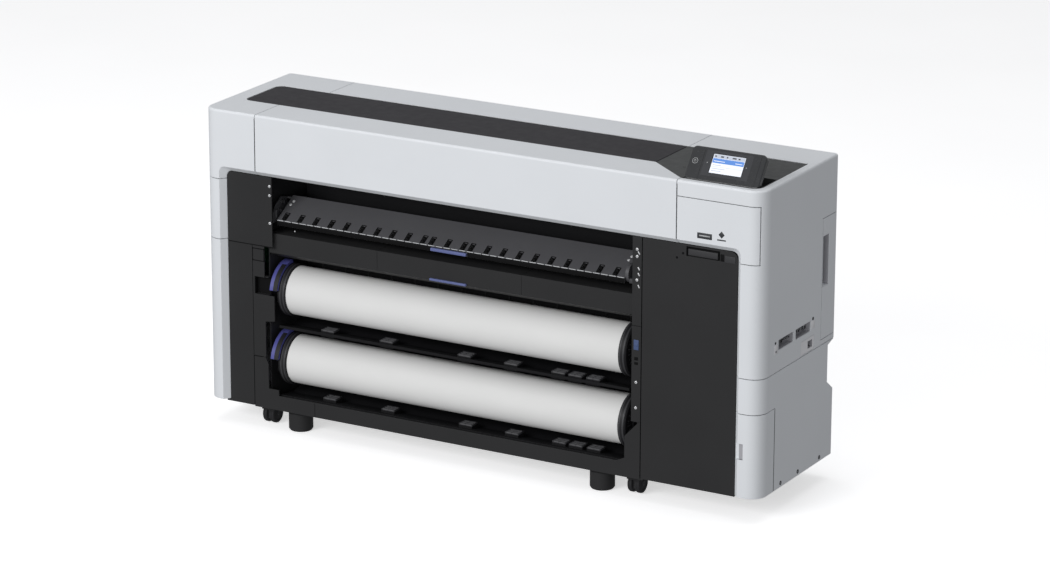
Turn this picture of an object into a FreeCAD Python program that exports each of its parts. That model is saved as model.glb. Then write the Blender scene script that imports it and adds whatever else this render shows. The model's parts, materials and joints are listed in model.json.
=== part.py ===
"""Large format plotter with two front-loading rolls, built as separate pieces.

Frame of the part: +X to the operator's right, -Y towards the operator, +Z up.
The origin is on the floor, under the middle of the machine.  Millimetres.
"""
import FreeCAD, Part
import math
import os
import re
import Sketcher
from FreeCAD import Placement, Rotation, Vector

os.makedirs("parts", exist_ok=True)
doc = FreeCAD.newDocument("LargeFormatPlotter")

# ---------------------------------------------------------------- driving sizes
SIZES = [
    ("width", 1840), ("depth", 476), ("cover_top", 969), ("cover_bottom", 63),
    ("side_bottom", 74), ("wall", 3), ("corner_round", 45), ("rear_round", 14), ("edge_round", 7),
    ("seam", 1.9), ("recess", 19), ("rim_run", 15), ("rim_round", 26),
    ("opening_left", 866), ("opening_right", 851), ("opening_top", 798),
    ("cover_left", 738), ("cover_right", 649.5), ("rear_left", 685), ("rear_right", 517),
    ("window_left", 862), ("window_right", 512.6), ("window_front", -102), ("window_back", 92),
    ("window_round", 24),
    ("tray_left", 513.8), ("tray_right", 892), ("tray_front", -213.8), ("tray_corner", 652),
    ("back_band", 835), ("left_high", 757), ("left_low", 572), ("right_low", 424),
    ("front_cover_top", 922), ("front_cover_right", 904),
    ("corner_top", 320), ("corner_back", -146),
    ("side_door_front", 142), ("side_door_left", 873), ("side_door_low", 442), ("side_door_high", 799),
    ("notch_depth", 48), ("notch_top", 413), ("notch_bottom", 302),
    ("skirt_gap", 0.3), ("panel_thick", 4), ("panel_split", 566), ("panel_top", 781),
    ("upper_panel_right", 696), ("column_left", 765.5), ("column_right", 692), ("column_neck", 725.5),
    ("post_left", 504.5), ("post_right", 533.5), ("base_cover_top", 108), ("base_upright", 222),
    ("door_left", 536.5), ("door_right", 834.5), ("door_bottom", 66),
    ("left_plate", 724), ("right_plate", 512), ("plate_thick", 4),
    ("roll_left", 663), ("roll_right", 455), ("roll_radius", 74), ("core_bore", 26),
    ("flange_radius", 79), ("roll_y", -130), ("roll_high", 418), ("roll_low", 205),
    ("stub_radius", 12), ("guide_front", -200), ("guide_low", 648), ("guide_back", -110),
    ("guide_rise", 54), ("guide_pin_y", -114), ("guide_pin_z", 694), ("guide_pin", 3),
    ("beam_front", -204), ("beam_back", -104), ("beam_low", 520), ("beam_high", 606),
    ("flap_left", 343), ("flap_right", 138), ("flap_pin_y", -130), ("flap_pin_z", 529), ("flap_pin", 3),
    ("platen_top", 788), ("feed_y", 68), ("feed_z", 768), ("feed_radius", 18), ("pinch_radius", 8),
    ("rail_front", 62), ("rail_low", 846), ("rail_high", 886), ("belt_z", 912), ("pulley_radius", 11.9),
    ("pulley_left", 815), ("pulley_right", 812),
    ("panel_x", 657), ("panel_y", -210.5), ("panel_z", 968), ("panel_long", 229),
    ("panel_deep", 101), ("panel_slab", 16), ("panel_tilt", 54),
    ("panel_pin_y", 4), ("panel_pin_z", -12), ("panel_pin", 2.4),
    ("door_pin_x", 539), ("door_pin_y", -216.7), ("door_pin", 1.6),
    ("caster_left", 743), ("caster_right", 495), ("foot_left", 635), ("foot_right", 388),
    ("foot_y", 170), ("wheel_radius", 29), ("wheel_trail", 14),
]
sheet = doc.addObject("Spreadsheet::Sheet", "Sizes")
for line, (alias, number) in enumerate(SIZES, start=1):
    sheet.set(f"A{line}", alias.replace("_", " "))
    sheet.set(f"B{line}", str(number))
    sheet.setAlias(f"B{line}", alias)
doc.recompute()
ALIASES = {alias for alias, number in SIZES}


# ---------------------------------------------------------------- helpers
def formula(text):
    """Write the sheet's name in front of each alias in a formula."""
    return re.sub(r"[a-z_]+", lambda word: "Sizes." + word[0] if word[0] in ALIASES else word[0], str(text))


def value(text):
    """Read a formula of sheet cells as a plain number."""
    return float(sheet.evalExpression(formula(text)))


def bind(item, prop, text):
    item.setExpression(prop, formula(text))


def box(name, x, y, z):
    """A block between two corners, each limit a formula."""
    block = doc.addObject("Part::Box", name)
    for side, axis, (low, high) in (("Length", "x", x), ("Width", "y", y), ("Height", "z", z)):
        bind(block, side, f"({high}) - ({low})")
        bind(block, f"Placement.Base.{axis}", low)
    return block


TURNS = {
    "x": Rotation(Vector(0, 1, 0), 90),
    "y": Rotation(Vector(1, 0, 0), -90),
    "z": Rotation(),
}


def rod(name, axis, across, span, radius):
    """A cylinder along one axis; across holds the other two coordinates in X, Y, Z order."""
    cylinder = doc.addObject("Part::Cylinder", name)
    cylinder.Placement = Placement(Vector(), TURNS[axis])
    places = dict(zip([letter for letter in "xyz" if letter != axis], across))
    places[axis] = span[0]
    for letter, text in places.items():
        bind(cylinder, f"Placement.Base.{letter}", text)
    bind(cylinder, "Height", f"({span[1]}) - ({span[0]})")
    bind(cylinder, "Radius", radius)
    return cylinder


def fuse(name, pieces):
    joined = doc.addObject("Part::MultiFuse", name)
    joined.Shapes = pieces
    joined.Refine = True
    return joined


def cut(name, base, tools):
    result = doc.addObject("Part::Cut", name)
    result.Base = base
    result.Tool = tools[0] if len(tools) == 1 else fuse(name + "Tools", tools)
    return result


def common(name, base, tool):
    result = doc.addObject("Part::Common", name)
    result.Base = base
    result.Tool = tool
    return result


def group(name, pieces):
    """Separate solids kept together in one piece list entry."""
    together = doc.addObject("Part::Compound", name)
    together.Links = pieces
    return together


PLANES = {"x": "YZ_Plane", "y": "XZ_Plane", "z": "XY_Plane"}


def sketch_on(body, name, axis, offset):
    """A sketch square to one axis, at the given coordinate along it."""
    plane = [item for item in body.Origin.OriginFeatures if item.Role == PLANES[axis]][0]
    sketch = body.newObject("Sketcher::SketchObject", name)
    sketch.AttachmentSupport = [(plane, "")]
    sketch.MapMode = "FlatFace"
    sign = "-" if axis == "y" else ""
    bind(sketch, "AttachmentOffset.Base.z", f"{sign}({offset})")
    return sketch


def add_outline(sketch, points):
    """A closed outline of straight lines, every corner bound to its formulas."""
    spots = [Vector(value(across), value(up), 0) for across, up in points]
    first = sketch.GeometryCount
    for index, spot in enumerate(spots):
        sketch.addGeometry(Part.LineSegment(spot, spots[(index + 1) % len(spots)]), False)
    for index, (corner, spot) in enumerate(zip(points, spots)):
        after = first + (index + 1) % len(spots)
        sketch.addConstraint(Sketcher.Constraint("Coincident", first + index, 2, after, 1))
        for kind, text, number in (("DistanceX", corner[0], spot.x), ("DistanceY", corner[1], spot.y)):
            place = sketch.addConstraint(Sketcher.Constraint(kind, -1, 1, first + index, 1, number))
            bind(sketch, f"Constraints[{place}]", text)


def add_circle(sketch, across, up, radius):
    middle = Vector(value(across), value(up), 0)
    circle = sketch.addGeometry(Part.Circle(middle, Vector(0, 0, 1), value(radius)), False)
    for kind, text, number in (("DistanceX", across, middle.x), ("DistanceY", up, middle.y)):
        place = sketch.addConstraint(Sketcher.Constraint(kind, -1, 1, circle, 3, number))
        bind(sketch, f"Constraints[{place}]", text)
    place = sketch.addConstraint(Sketcher.Constraint("Radius", circle, value(radius)))
    bind(sketch, f"Constraints[{place}]", radius)


def rectangle(left, right, low, high):
    return [(left, low), (right, low), (right, high), (left, high)]


def prism(name, axis, points, span):
    """A body padded from one outline along an axis, from span[0] to span[1]."""
    body = doc.addObject("PartDesign::Body", name)
    start = span[1] if axis == "y" else span[0]
    sketch = sketch_on(body, name + "Outline", axis, start)
    add_outline(sketch, points)
    pad = body.newObject("PartDesign::Pad", name + "Pad")
    pad.Profile = sketch
    bind(pad, "Length", f"({span[1]}) - ({span[0]})")
    doc.recompute()
    return body


def round_edges(body, radius, wanted):
    """Round those edges of a body for which wanted(edge) holds."""
    base = body.Tip
    edges = enumerate(base.Shape.Edges, start=1)
    names = [f"Edge{number}" for number, edge in edges if wanted(edge)]
    fillet = body.newObject("PartDesign::Fillet", body.Name + "Round")
    fillet.Base = (base, names)
    bind(fillet, "Radius", radius)
    doc.recompute()
    return fillet


def pocket(body, name, axis, level, depth, draw, away=False):
    """Cut an outline into a body from the given level; the volume has to fall."""
    before = body.Shape.Volume
    sketch = sketch_on(body, name + "Outline", axis, level)
    draw(sketch)
    feature = body.newObject("PartDesign::Pocket", name)
    feature.Profile = sketch
    feature.Reversed = away
    bind(feature, "Length", depth)
    doc.recompute()
    if body.Shape.Volume > before - 0.5:
        raise RuntimeError(name + " cuts nothing")
    return feature


def pattern(body, feature, direction, length, count):
    """Repeat a feature in a straight row."""
    row = body.newObject("PartDesign::LinearPattern", feature.Name + "Row")
    row.Originals = [feature]
    sketch = feature.Profile[0]
    row.Direction = (sketch, [direction])
    bind(row, "Length", length)
    row.Occurrences = count
    body.Tip = row
    doc.recompute()
    return row


def spin(name, points, axis="H_Axis", at=(0, 0, 0), turn=None):
    """A body turned from a half outline on the XY plane about the sketch's own axis."""
    body = doc.addObject("PartDesign::Body", name)
    sketch = sketch_on(body, name + "Outline", "z", 0)
    add_outline(sketch, points)
    turned = body.newObject("PartDesign::Revolution", name + "Turned")
    turned.Profile = sketch
    turned.ReferenceAxis = (sketch, [axis])
    turned.Angle = 360
    if turn is not None:
        body.Placement = Placement(Vector(), turn)
    for letter, text in zip("xyz", at):
        bind(body, f"Placement.Base.{letter}", text)
    doc.recompute()
    return body


def along(axis):
    """Test for an edge that is straight and runs along one axis."""
    wish = {"x": Vector(1, 0, 0), "y": Vector(0, 1, 0), "z": Vector(0, 0, 1)}[axis]

    def test(edge):
        if edge.Curve.TypeId != "Part::GeomLine":
            return False
        return edge.tangentAt(edge.FirstParameter).cross(wish).Length < 1e-6
    return test


NODES = {}


def node(label, item):
    """Name a finished piece; the name is also its file's name."""
    item.Label = label
    NODES[label] = item
    return item


# ---------------------------------------------------------------- white covers
def upright_corner(side):
    """Test for an upright edge at the front (-1) or at the back (1)."""
    return lambda edge: along("z")(edge) and edge.Vertexes[0].Y * side > 150


def outer_skin():
    """The covers as one shell, before the seams divide it."""
    half_width, half_depth = "width / 2", "depth / 2"
    outer = prism("OuterForm", "z", rectangle(f"-{half_width}", half_width, f"-{half_depth}", half_depth),
                  ("cover_bottom", "cover_top"))
    round_edges(outer, "corner_round", upright_corner(-1))
    round_edges(outer, "rear_round", upright_corner(1))
    top = value("cover_top")
    round_edges(outer, "edge_round", lambda edge: min(spot.Z for spot in edge.Vertexes) > top - 0.1)
    inner = prism("InnerForm", "z",
                  rectangle(f"wall - {half_width}", f"{half_width} - wall",
                            f"wall - {half_depth}", f"{half_depth} - wall"),
                  ("cover_bottom - 10", "cover_top - wall"))
    round_edges(inner, "corner_round - wall", upright_corner(-1))
    round_edges(inner, "rear_round - wall", upright_corner(1))

    def notch(name, grow, reach):
        back = f"{half_depth} - notch_depth - {grow}"
        outline = [(back, f"notch_top + {grow}"), (f"{half_depth} + 5", f"notch_top + 16 + {grow}"),
                   (f"{half_depth} + 5", f"notch_bottom - 40 - {grow}"), (back, f"notch_bottom - {grow}")]
        return prism(name, "x", outline, (f"-{half_width} - {reach}", f"{half_width} + {reach}"))

    hollow = cut("Hollow", inner, [notch("NotchWall", "wall", 0)])
    shell = cut("Shell", outer, [hollow])
    rim = box("Rim", ("-opening_left - 3", "opening_right + 3"),
              ("-depth / 2", "recess - depth / 2"), ("cover_bottom", "opening_top + 3"))
    mouth = doc.addObject("Part::Wedge", "Mouth")
    bind(mouth, "Xmin", "-opening_left - 2 * rim_run / recess")
    bind(mouth, "Xmax", "opening_right + 2 * rim_run / recess")
    bind(mouth, "X2min", "rim_run - opening_left")
    bind(mouth, "X2max", "opening_right - rim_run")
    bind(mouth, "Ymin", "-depth / 2 - 2")
    bind(mouth, "Ymax", "recess - depth / 2")
    bind(mouth, "Zmin", "cover_bottom - 20")
    bind(mouth, "Z2min", "cover_bottom - 20")
    bind(mouth, "Zmax", "opening_top + 2 * rim_run / recess")
    bind(mouth, "Z2max", "opening_top - rim_run")
    doc.recompute()
    high = value("opening_top - rim_run") - 1
    corners = [number for number, edge in enumerate(mouth.Shape.Edges, start=1)
               if min(spot.Z for spot in edge.Vertexes) > high
               and abs(edge.Vertexes[0].Y - edge.Vertexes[1].Y) > 1]
    rounded = doc.addObject("Part::Fillet", "MouthRounded")
    rounded.Base = mouth
    rounded.Edges = [(number, value("rim_round"), value("rim_round")) for number in corners]
    return cut("Skin", fuse("ShellAndRim", [shell, rim]), [rounded, notch("Notch", 0, 1)])


def region(name, *blocks):
    """The room that one cover takes up, as one or more blocks."""
    pieces = [box(f"{name}{number}", *block) for number, block in enumerate(blocks, start=1)]
    return pieces[0] if len(pieces) == 1 else fuse(name, pieces)


OUT = "width / 2 + 1"
LEFT_OUT = "-width / 2 - 1"
FRONT = "-depth / 2 - 1"
BACK = "depth / 2 + 1"
TOP = "cover_top + 1"


def tray_outline(gap):
    """Plan of the dark tray beside the window, grown by a gap."""
    return [(f"tray_left - {gap}", f"window_back + {gap}"), (f"tray_left - {gap}", f"window_front - {gap}"),
            (f"tray_corner - {gap}", f"tray_front - {gap}"), (f"tray_right + {gap}", f"tray_front - {gap}"),
            (f"tray_right + {gap}", f"window_back + {gap}")]


def top_right_corner(edge):
    spot = edge.Vertexes[0]
    return along("z")(edge) and spot.X > value("tray_right - 6") and spot.Y < value("tray_front + 6")


SIDE_SCREWS = ("-100", "10", "150")


def screw_holes(name, low, high):
    """Holes through a side cover for its lower screws."""
    return [rod(f"{name}{number}", "x", (y, "86"), (low, high), "4")
            for number, y in enumerate(SIDE_SCREWS)]


def left_covers(skin):
    left_room = region(
        "LeftUpperRoom",
        ((LEFT_OUT, "-cover_left - seam"), (FRONT, "window_front + 1"), ("left_high + seam", TOP)),
        ((LEFT_OUT, "-rear_left - seam"), ("window_front", BACK), ("left_high + seam", TOP)))
    window_hole = prism("WindowHole", "z",
                        rectangle("-window_left - seam", "window_right",
                                  "window_front - seam", "window_back + seam"), ("cover_top - 30", TOP))
    round_edges(window_hole, "window_round + seam", window_left_corner)
    node("left_upper_cover", cut("LeftUpperCover", common("LeftUpperSkin", skin, left_room), [window_hole]))
    side = (LEFT_OUT, "-back_band - seam")
    node("left_middle_cover", common("LeftMiddleCover", skin, region(
        "LeftMiddleRoom", (side, (FRONT, BACK), ("left_low + seam", "left_high")))))
    left_lower = common("LeftLowerSkin", skin, region(
        "LeftLowerRoom", (side, (FRONT, BACK), ("side_bottom", "left_low"))))
    node("left_lower_cover", cut("LeftLowerCover", left_lower,
                                 screw_holes("LeftHole", LEFT_OUT, "8 - width / 2")))


def rear_covers(skin):
    node("rear_top_cover", common("RearTopCover", skin, region(
        "RearTopRoom",
        (("-rear_left", "rear_right"), ("window_back + 2 * seam", BACK), ("left_high + seam", TOP)))))
    vents = [box(f"RearVent{number}", (f"{number * 60 - 330}", f"{number * 60 - 290}"),
                 ("depth / 2 - 10", BACK), ("600", "606")) for number in range(11)]
    node("rear_cover", cut("RearCover", common("RearSkin", skin, region(
        "RearRoom", (("-back_band", "back_band"), ("120", BACK), ("side_bottom", "left_high")))), vents))


def port_slots(name, span, grow):
    """The two slots for cables in the right side, as blocks grown by a margin."""
    return [box(f"{name}{number}", span, (f"{low} - {grow}", f"{high} + {grow}"),
                (f"487 - {grow}", f"517 + {grow}"))
            for number, (low, high) in enumerate((("-130", "-36"), ("-22", "74")), start=1)]


def right_covers(skin):
    front_room = (("cover_right + seam", "front_cover_right"), (FRONT, "-212"),
                  ("left_high", "front_cover_top"))
    node("right_front_cover", common("RightFrontCover", skin, region("RightFrontRoom", front_room)))
    front_gap = box("RightFrontGap", ("cover_right - 1", "front_cover_right + seam"), (FRONT, "-212"),
                ("left_high - seam", "front_cover_top + seam"))
    right_room = region(
        "RightUpperRoom",
        (("cover_right + seam", OUT), (FRONT, BACK), ("left_high + seam", TOP)),
        (("rear_right + seam", "cover_right + 5"), ("window_back + 2 * seam", BACK),
         ("left_high + seam", TOP)),
        (("back_band + seam", OUT), (FRONT, BACK), ("right_low + seam", "left_high + 5")))
    tray_hole = prism("TrayHole", "z", tray_outline("seam"), ("cover_top - 40", TOP))
    round_edges(tray_hole, "30", top_right_corner)
    door_gap = box("SideDoorGap", ("side_door_left - seam", OUT), ("side_door_front - seam", BACK),
                   ("side_door_low - seam", "side_door_high + seam"))
    slots = port_slots("SlotHole", ("width / 2 - 20", OUT), 0)
    inlet_hole = box("InletHole", ("width / 2 - 20", OUT), ("14", "98"), ("428", "470"))
    node("right_upper_cover", cut("RightUpperCover", common("RightUpperSkin", skin, right_room),
                                  [front_gap, tray_hole, door_gap, inlet_hole] + slots))

    lower_room = region("RightLowerRoom", (("back_band + seam", OUT), (FRONT, BACK),
                                           ("side_bottom", "right_low")))
    corner_gap = box("CornerGap", ("back_band", OUT), (FRONT, "corner_back + seam"),
                     ("side_bottom - 1", "corner_top + seam"))
    node("right_lower_cover", cut("RightLowerCover", common("RightLowerSkin", skin, lower_room),
                                  [corner_gap] + screw_holes("RightHole", "width / 2 - 8", OUT)))
    finger = box("FingerNotch", ("back_band - 5", "868"), (FRONT, "-depth / 2 + 10"), ("186", "233"))
    node("corner_cover", cut("CornerCover", common("CornerSkin", skin, region(
        "CornerRoom", (("back_band + 1.5", OUT), (FRONT, "corner_back"), ("side_bottom", "corner_top")))),
        [finger]))

    door_skin = common("SideDoorSkin", skin, region(
        "SideDoorRoom", (("side_door_left", OUT), ("side_door_front", BACK),
                         ("side_door_low", "side_door_high"))))
    cup = box("GripCup", ("width / 2 - 22", "width / 2 - 1"), ("side_door_front", "side_door_front + 44"),
              ("594", "750"))
    cup_hollow = box("GripHollow", ("width / 2 - 19", OUT), ("side_door_front + 2", "side_door_front + 41"),
                     ("597", "747"))
    node("side_door", cut("SideDoor", fuse("SideDoorAndCup", [door_skin, cup]), [cup_hollow]))


def printer_cover_shell(skin):
    shell_room = region("CoverShellRoom", (("-cover_left", "cover_right"), (FRONT, "window_front - seam"),
                                           ("opening_top - rim_run", TOP)))
    corner = prism("CoverCorner", "z", tray_outline("1"), ("cover_top - 60", TOP))
    ribs = [box(f"CoverRib{number}", (f"{x}", f"{x} + 3"), ("-depth / 2 + 1", "-depth / 2 + 14"),
                ("opening_top + 2", "cover_top - 9")) for number, x in enumerate(range(-640, 641, 160))]
    shell = fuse("CoverShellRibbed", [common("CoverShellSkin", skin, shell_room)] + ribs)
    node("printer_cover_shell", cut("CoverShell", shell, [corner]))


def window_left_corner(edge):
    return along("z")(edge) and edge.Vertexes[0].X < value("2 - window_left")


def printer_window():
    """The dark strip on top, with both left corners rounded."""
    window = prism("Window", "z",
                   rectangle("-window_left", "window_right", "window_front", "window_back - 2"),
                   ("cover_top - 8", "cover_top - 0.5"))
    round_edges(window, "window_round", window_left_corner)
    round_edges(window, "1.5", lambda edge: min(spot.Z for spot in edge.Vertexes) > value("cover_top") - 1)
    node("printer_cover_window", window)


# ---------------------------------------------------------------- control panel
def control_panel():
    tray = prism("PanelTray", "z", tray_outline("0"), ("cover_top - 33", "cover_top - 1.5"))
    round_edges(tray, "29", top_right_corner)
    well = prism("TrayWell", "z", rectangle("panel_x - 5", "tray_right - 4", "tray_front + 2", "-96"),
                 ("cover_top - 26", "cover_top"))
    round_edges(well, "22", top_right_corner)
    catch = rectangle("601", "611", "-110", "-104")
    pocket(tray, "CatchHole", "z", "cover_top - 1.5", "6", lambda sketch: add_outline(sketch, catch))
    tilt = math.radians(value("panel_tilt"))
    pin_y = f"panel_y + {math.cos(tilt)} * panel_pin_y - {math.sin(tilt)} * panel_pin_z"
    pin_z = f"panel_z + {math.sin(tilt)} * panel_pin_y + {math.cos(tilt)} * panel_pin_z"
    bearing = rod("PanelBearing", "x", (pin_y, pin_z), ("panel_x - 16", "tray_right"),
                  "panel_pin + 0.3")
    node("panel_tray", cut("PanelTrayBored", tray, [well, bearing]))

    slab = prism("PanelSlab", "z", rectangle("0", "panel_long", "0", "panel_deep"), ("-panel_slab", "0"))
    round_edges(slab, "14", along("z"))
    round_edges(slab, "3", lambda edge: min(spot.Z for spot in edge.Vertexes) > -0.1)
    pocket(slab, "ScreenPocket", "z", "0", "1.6",
           lambda sketch: add_outline(sketch, rectangle("69", "168", "27", "84")))
    pocket(slab, "ButtonPocket", "z", "0", "6", lambda sketch: add_circle(sketch, "18.5", "56", "7"))
    pins = [rod(f"PanelPin{side}", "x", ("panel_pin_y", "panel_pin_z"), span, "panel_pin")
            for side, span in (("Left", ("-12", "9")), ("Right", ("panel_long - 9", "panel_long + 2")))]
    screen = box("Screen", ("69.3", "167.7"), ("27.3", "83.7"), ("-1.6", "-0.3"))
    button = rod("PowerButton", "z", ("18.5", "56"), ("-3.6", "0.6"), "6.4")
    place = Placement(Vector(value("panel_x"), value("panel_y"), value("panel_z")),
                      Rotation(Vector(1, 0, 0), value("panel_tilt")))
    for name, item in (("control_panel", fuse("PanelPinned", [slab] + pins)), ("panel_screen", screen),
                       ("power_button", button)):
        tilted = doc.addObject("Part::Compound", item.Name + "Tilted")
        tilted.Links = [item]
        tilted.Placement = place
        node(name, tilted)


# ---------------------------------------------------------------- black front panels
SKIN_FRONT = "recess + skirt_gap - depth / 2"
SKIN_BACK = "recess + skirt_gap + panel_thick - depth / 2"


def door_bearing(name, low, high):
    """The hole for one of the ink door's pins."""
    return rod(name, "z", ("door_pin_x", "door_pin_y"), (low, high), "door_pin + 0.3")


def black_panels():
    left = "-opening_left + 2"
    upper = rectangle(left, "-upper_panel_right", "panel_split + seam", "panel_top")
    node("left_panel_upper", prism("LeftPanelUpper", "y", upper, (SKIN_FRONT, SKIN_BACK)))
    lower = rectangle(left, "-column_left - seam", "cover_bottom + 3", "panel_split")
    node("left_panel_lower", prism("LeftPanelLower", "y", lower, (SKIN_FRONT, SKIN_BACK)))
    column = [("-column_left", "base_upright + seam"), ("-724", "base_upright + seam"), ("-724", "334"),
              ("-column_right", "339"), ("-column_right", "416"), ("5.5 - column_left", "416"),
              ("5.5 - column_left", "470"), ("-column_neck", "470"), ("-column_neck", "panel_split"),
              ("-column_left", "panel_split")]
    front = prism("LeftColumn", "y", column, (SKIN_FRONT, SKIN_BACK))
    cup = box("PitCup", ("3 - column_left", "-714"), (f"{SKIN_BACK} - 1", "-198"), ("413.5", "472.5"))
    hollow = box("PitHollow", ("5.5 - column_left", "-713"), (f"{SKIN_BACK} - 5", "-201"), ("416", "470"))
    node("left_column", cut("LeftColumnPit", fuse("LeftColumnCup", [front, cup]), [hollow]))
    post = prism("RightPost", "y", rectangle("post_left", "post_right", "234", "panel_top"),
                 (SKIN_FRONT, "-200"))
    inside = rectangle(SKIN_BACK, "-199", "240", "panel_top - 6")
    pocket(post, "PostHollow", "x", "post_left + 3", "post_right - post_left - 6",
           lambda sketch: add_outline(sketch, inside), away=True)
    lug = box("PostLug", ("post_right - 4", "door_pin_x + 4"), ("door_pin_y - 2", "door_pin_y + 6"),
              ("panel_top + 0.6", "panel_top + 4.6"))
    neck = box("PostNeck", ("post_right - 4", "post_right"), ("door_pin_y - 2", "door_pin_y + 6"),
               ("panel_top - 6", "panel_top + 4"))
    node("right_post", cut("RightPostLugged", fuse("RightPostAndLug", [post, lug, neck]),
                           [door_bearing("PostBearing", "panel_top", "panel_top + 6")]))

    base = [("-column_left", "cover_bottom"), ("post_right", "cover_bottom"), ("post_right", "233"),
            ("528", "233"), ("484", "186"), ("484", "base_cover_top + 12"), ("458", "base_cover_top"),
            ("-681", "base_cover_top"), ("-681", "126"), ("-716", "126"), ("-716", "203"),
            ("-726", "base_upright"), ("-column_left", "base_upright")]
    front = prism("BaseFront", "y", base, (SKIN_FRONT, SKIN_BACK))
    shelf = box("BaseShelf", ("-680", "457"), (f"{SKIN_BACK} - 1", "-206"),
                ("base_cover_top - 8", "base_cover_top - 4"))
    lug = box("BaseLug", ("post_right - 6", "door_pin_x + 4"), ("door_pin_y - 2", "door_pin_y + 6"),
              ("cover_bottom", "door_bottom - 0.6"))
    seam = box("BaseSeam", ("-555.6", "-554.4"), (f"{SKIN_FRONT} - 1", f"{SKIN_FRONT} + 1.2"),
               ("cover_bottom - 1", "base_cover_top + 1"))
    node("base_front_cover", cut("BaseFrontCover", fuse("BaseFrontJoined", [front, shelf, lug]),
                                 [door_bearing("BaseBearing", "cover_bottom - 1", "door_bottom"), seam]))


def ink_door():
    outline = rectangle("door_left", "door_right", "door_bottom", "panel_top")
    door = prism("InkDoor", "y", outline, (SKIN_FRONT, SKIN_BACK))
    right, top = value("door_right"), value("panel_top")
    round_edges(door, "24", lambda edge: along("y")(edge) and edge.Vertexes[0].X > right - 1
                and edge.Vertexes[0].Z > top - 1)
    def block(name, x, low, high, z):
        return box(name, x, (f"{SKIN_FRONT} + {low}", f"{SKIN_FRONT} + {high}"), z)

    grip = block("GripBlock", ("670", "781"), 4.05, 16, ("744", "780"))
    hollow = block("GripOpening", ("673", "778"), -1, 13, ("748", "776"))
    stiffener = block("DoorStiffener", ("560", "812"), 1, 10, ("90", "96"))
    pins = [rod(f"DoorPin{side}", "z", ("door_pin_x", "door_pin_y"), span, "door_pin")
            for side, span in (("Top", ("panel_top - 3", "panel_top + 4")),
                               ("Bottom", ("door_bottom - 2.4", "door_bottom + 3")))]
    plate = cut("InkDoorGripped", fuse("InkDoorBlock", [door, stiffener] + pins), [hollow])
    node("ink_door", group("InkDoorAndGrip", [plate, cut("GripCupHollow", grip, [hollow])]))


# ---------------------------------------------------------------- paper path
def paper_guide():
    """A sloping plate with rows of slots, a front lip, a round cap at its right end and end pins."""
    left, right = "-690", "470"
    back = "guide_low + guide_rise"
    plate = prism("GuidePlate", "x",
                  [("guide_front", "guide_low"), ("guide_front", "guide_low - 16"),
                   ("guide_front + 4", "guide_low - 16"), ("guide_front + 4", "guide_low - 2"),
                   ("guide_back", f"{back} - 5"), ("guide_back", back)], (left, right))
    slots = []
    for first, count in ((-668, 10), (-167, 3), (-36, 10)):
        for step in range(count):
            middle = first + 52.5 * step
            slots.append(box(f"GuideSlot{len(slots)}", (f"{middle} - 5.5", f"{middle} + 5.5"),
                             ("guide_front + 4", "guide_front + 29"), ("guide_low - 15", "guide_low + 40")))
    cap = rod("GuideCap", "x", ("guide_front + 30", "guide_low + 8"), (right, "480"), "27")
    grip = box("GuideGrip", ("-161", "-43"), ("guide_front - 8", "guide_front + 1"),
               ("guide_low - 13", "guide_low - 5"))
    rib = box("GuideRib", (left, right), ("guide_pin_y - 4", "guide_pin_y + 4"),
              ("guide_pin_z - 4", f"{back} - 5"))
    pins = [rod(f"GuidePin{side}", "x", ("guide_pin_y", "guide_pin_z"), span, "guide_pin")
            for side, span in (("Left", ("-left_plate - 3", f"{left} + 6")),
                               ("Right", (f"{right} - 6", "right_plate + 7")))]
    node("paper_guide", fuse("PaperGuide", [cut("GuideSlotted", plate, slots), cap, grip, rib] + pins))


def feeder_beam():
    """The black beam over the upper roll: two fixed ends on a spine and a flap between them."""
    def section(inset, back):
        front, low, high = f"beam_front + {inset}", f"beam_low + {inset}", f"beam_high - {inset}"
        return [(front, high), (front, f"546 + {inset} / 2"), (f"-150 + {inset} / 2", low),
                (back, low), (back, high)]

    def hollow_section(name, left, right, back):
        solid = prism(name, "x", section("0", back), (left, right))
        inside = prism(name + "Inside", "x", section("wall", f"{back} + 1"),
                       (f"{left} + wall", f"{right} - wall"))
        return cut(name + "Hollow", solid, [inside])

    spine_front = "beam_back - 16"
    ends = [hollow_section("BeamLeft", "-716", "-flap_left - 1", f"{spine_front} + 0.5"),
            hollow_section("BeamRight", "flap_right + 1", "500", f"{spine_front} + 0.5")]
    spine = box("BeamSpine", ("-716", "500"), (spine_front, "beam_back"), ("beam_low", "beam_high"))
    bearings = rod("FlapBearings", "x", ("flap_pin_y", "flap_pin_z"), ("-flap_left - 8", "flap_right + 8"),
                   "flap_pin + 0.4")
    node("feeder_beam", cut("FeederBeam", fuse("BeamJoined", ends + [spine]), [bearings]))
    flap = hollow_section("Flap", "-flap_left", "flap_right", f"{spine_front} - 4")
    pins = [rod(f"FlapPin{side}", "x", ("flap_pin_y", "flap_pin_z"), span, "flap_pin")
            for side, span in (("Left", ("-flap_left - 5", "6 - flap_left")),
                               ("Right", ("flap_right - 6", "flap_right + 5")))]
    grip = box("FlapGrip", ("-163", "-42"), ("beam_front - 7", "beam_front + 1"), ("546.5", "552"))
    node("feeder_flap", fuse("FeederFlap", [flap, grip] + pins))


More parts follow.
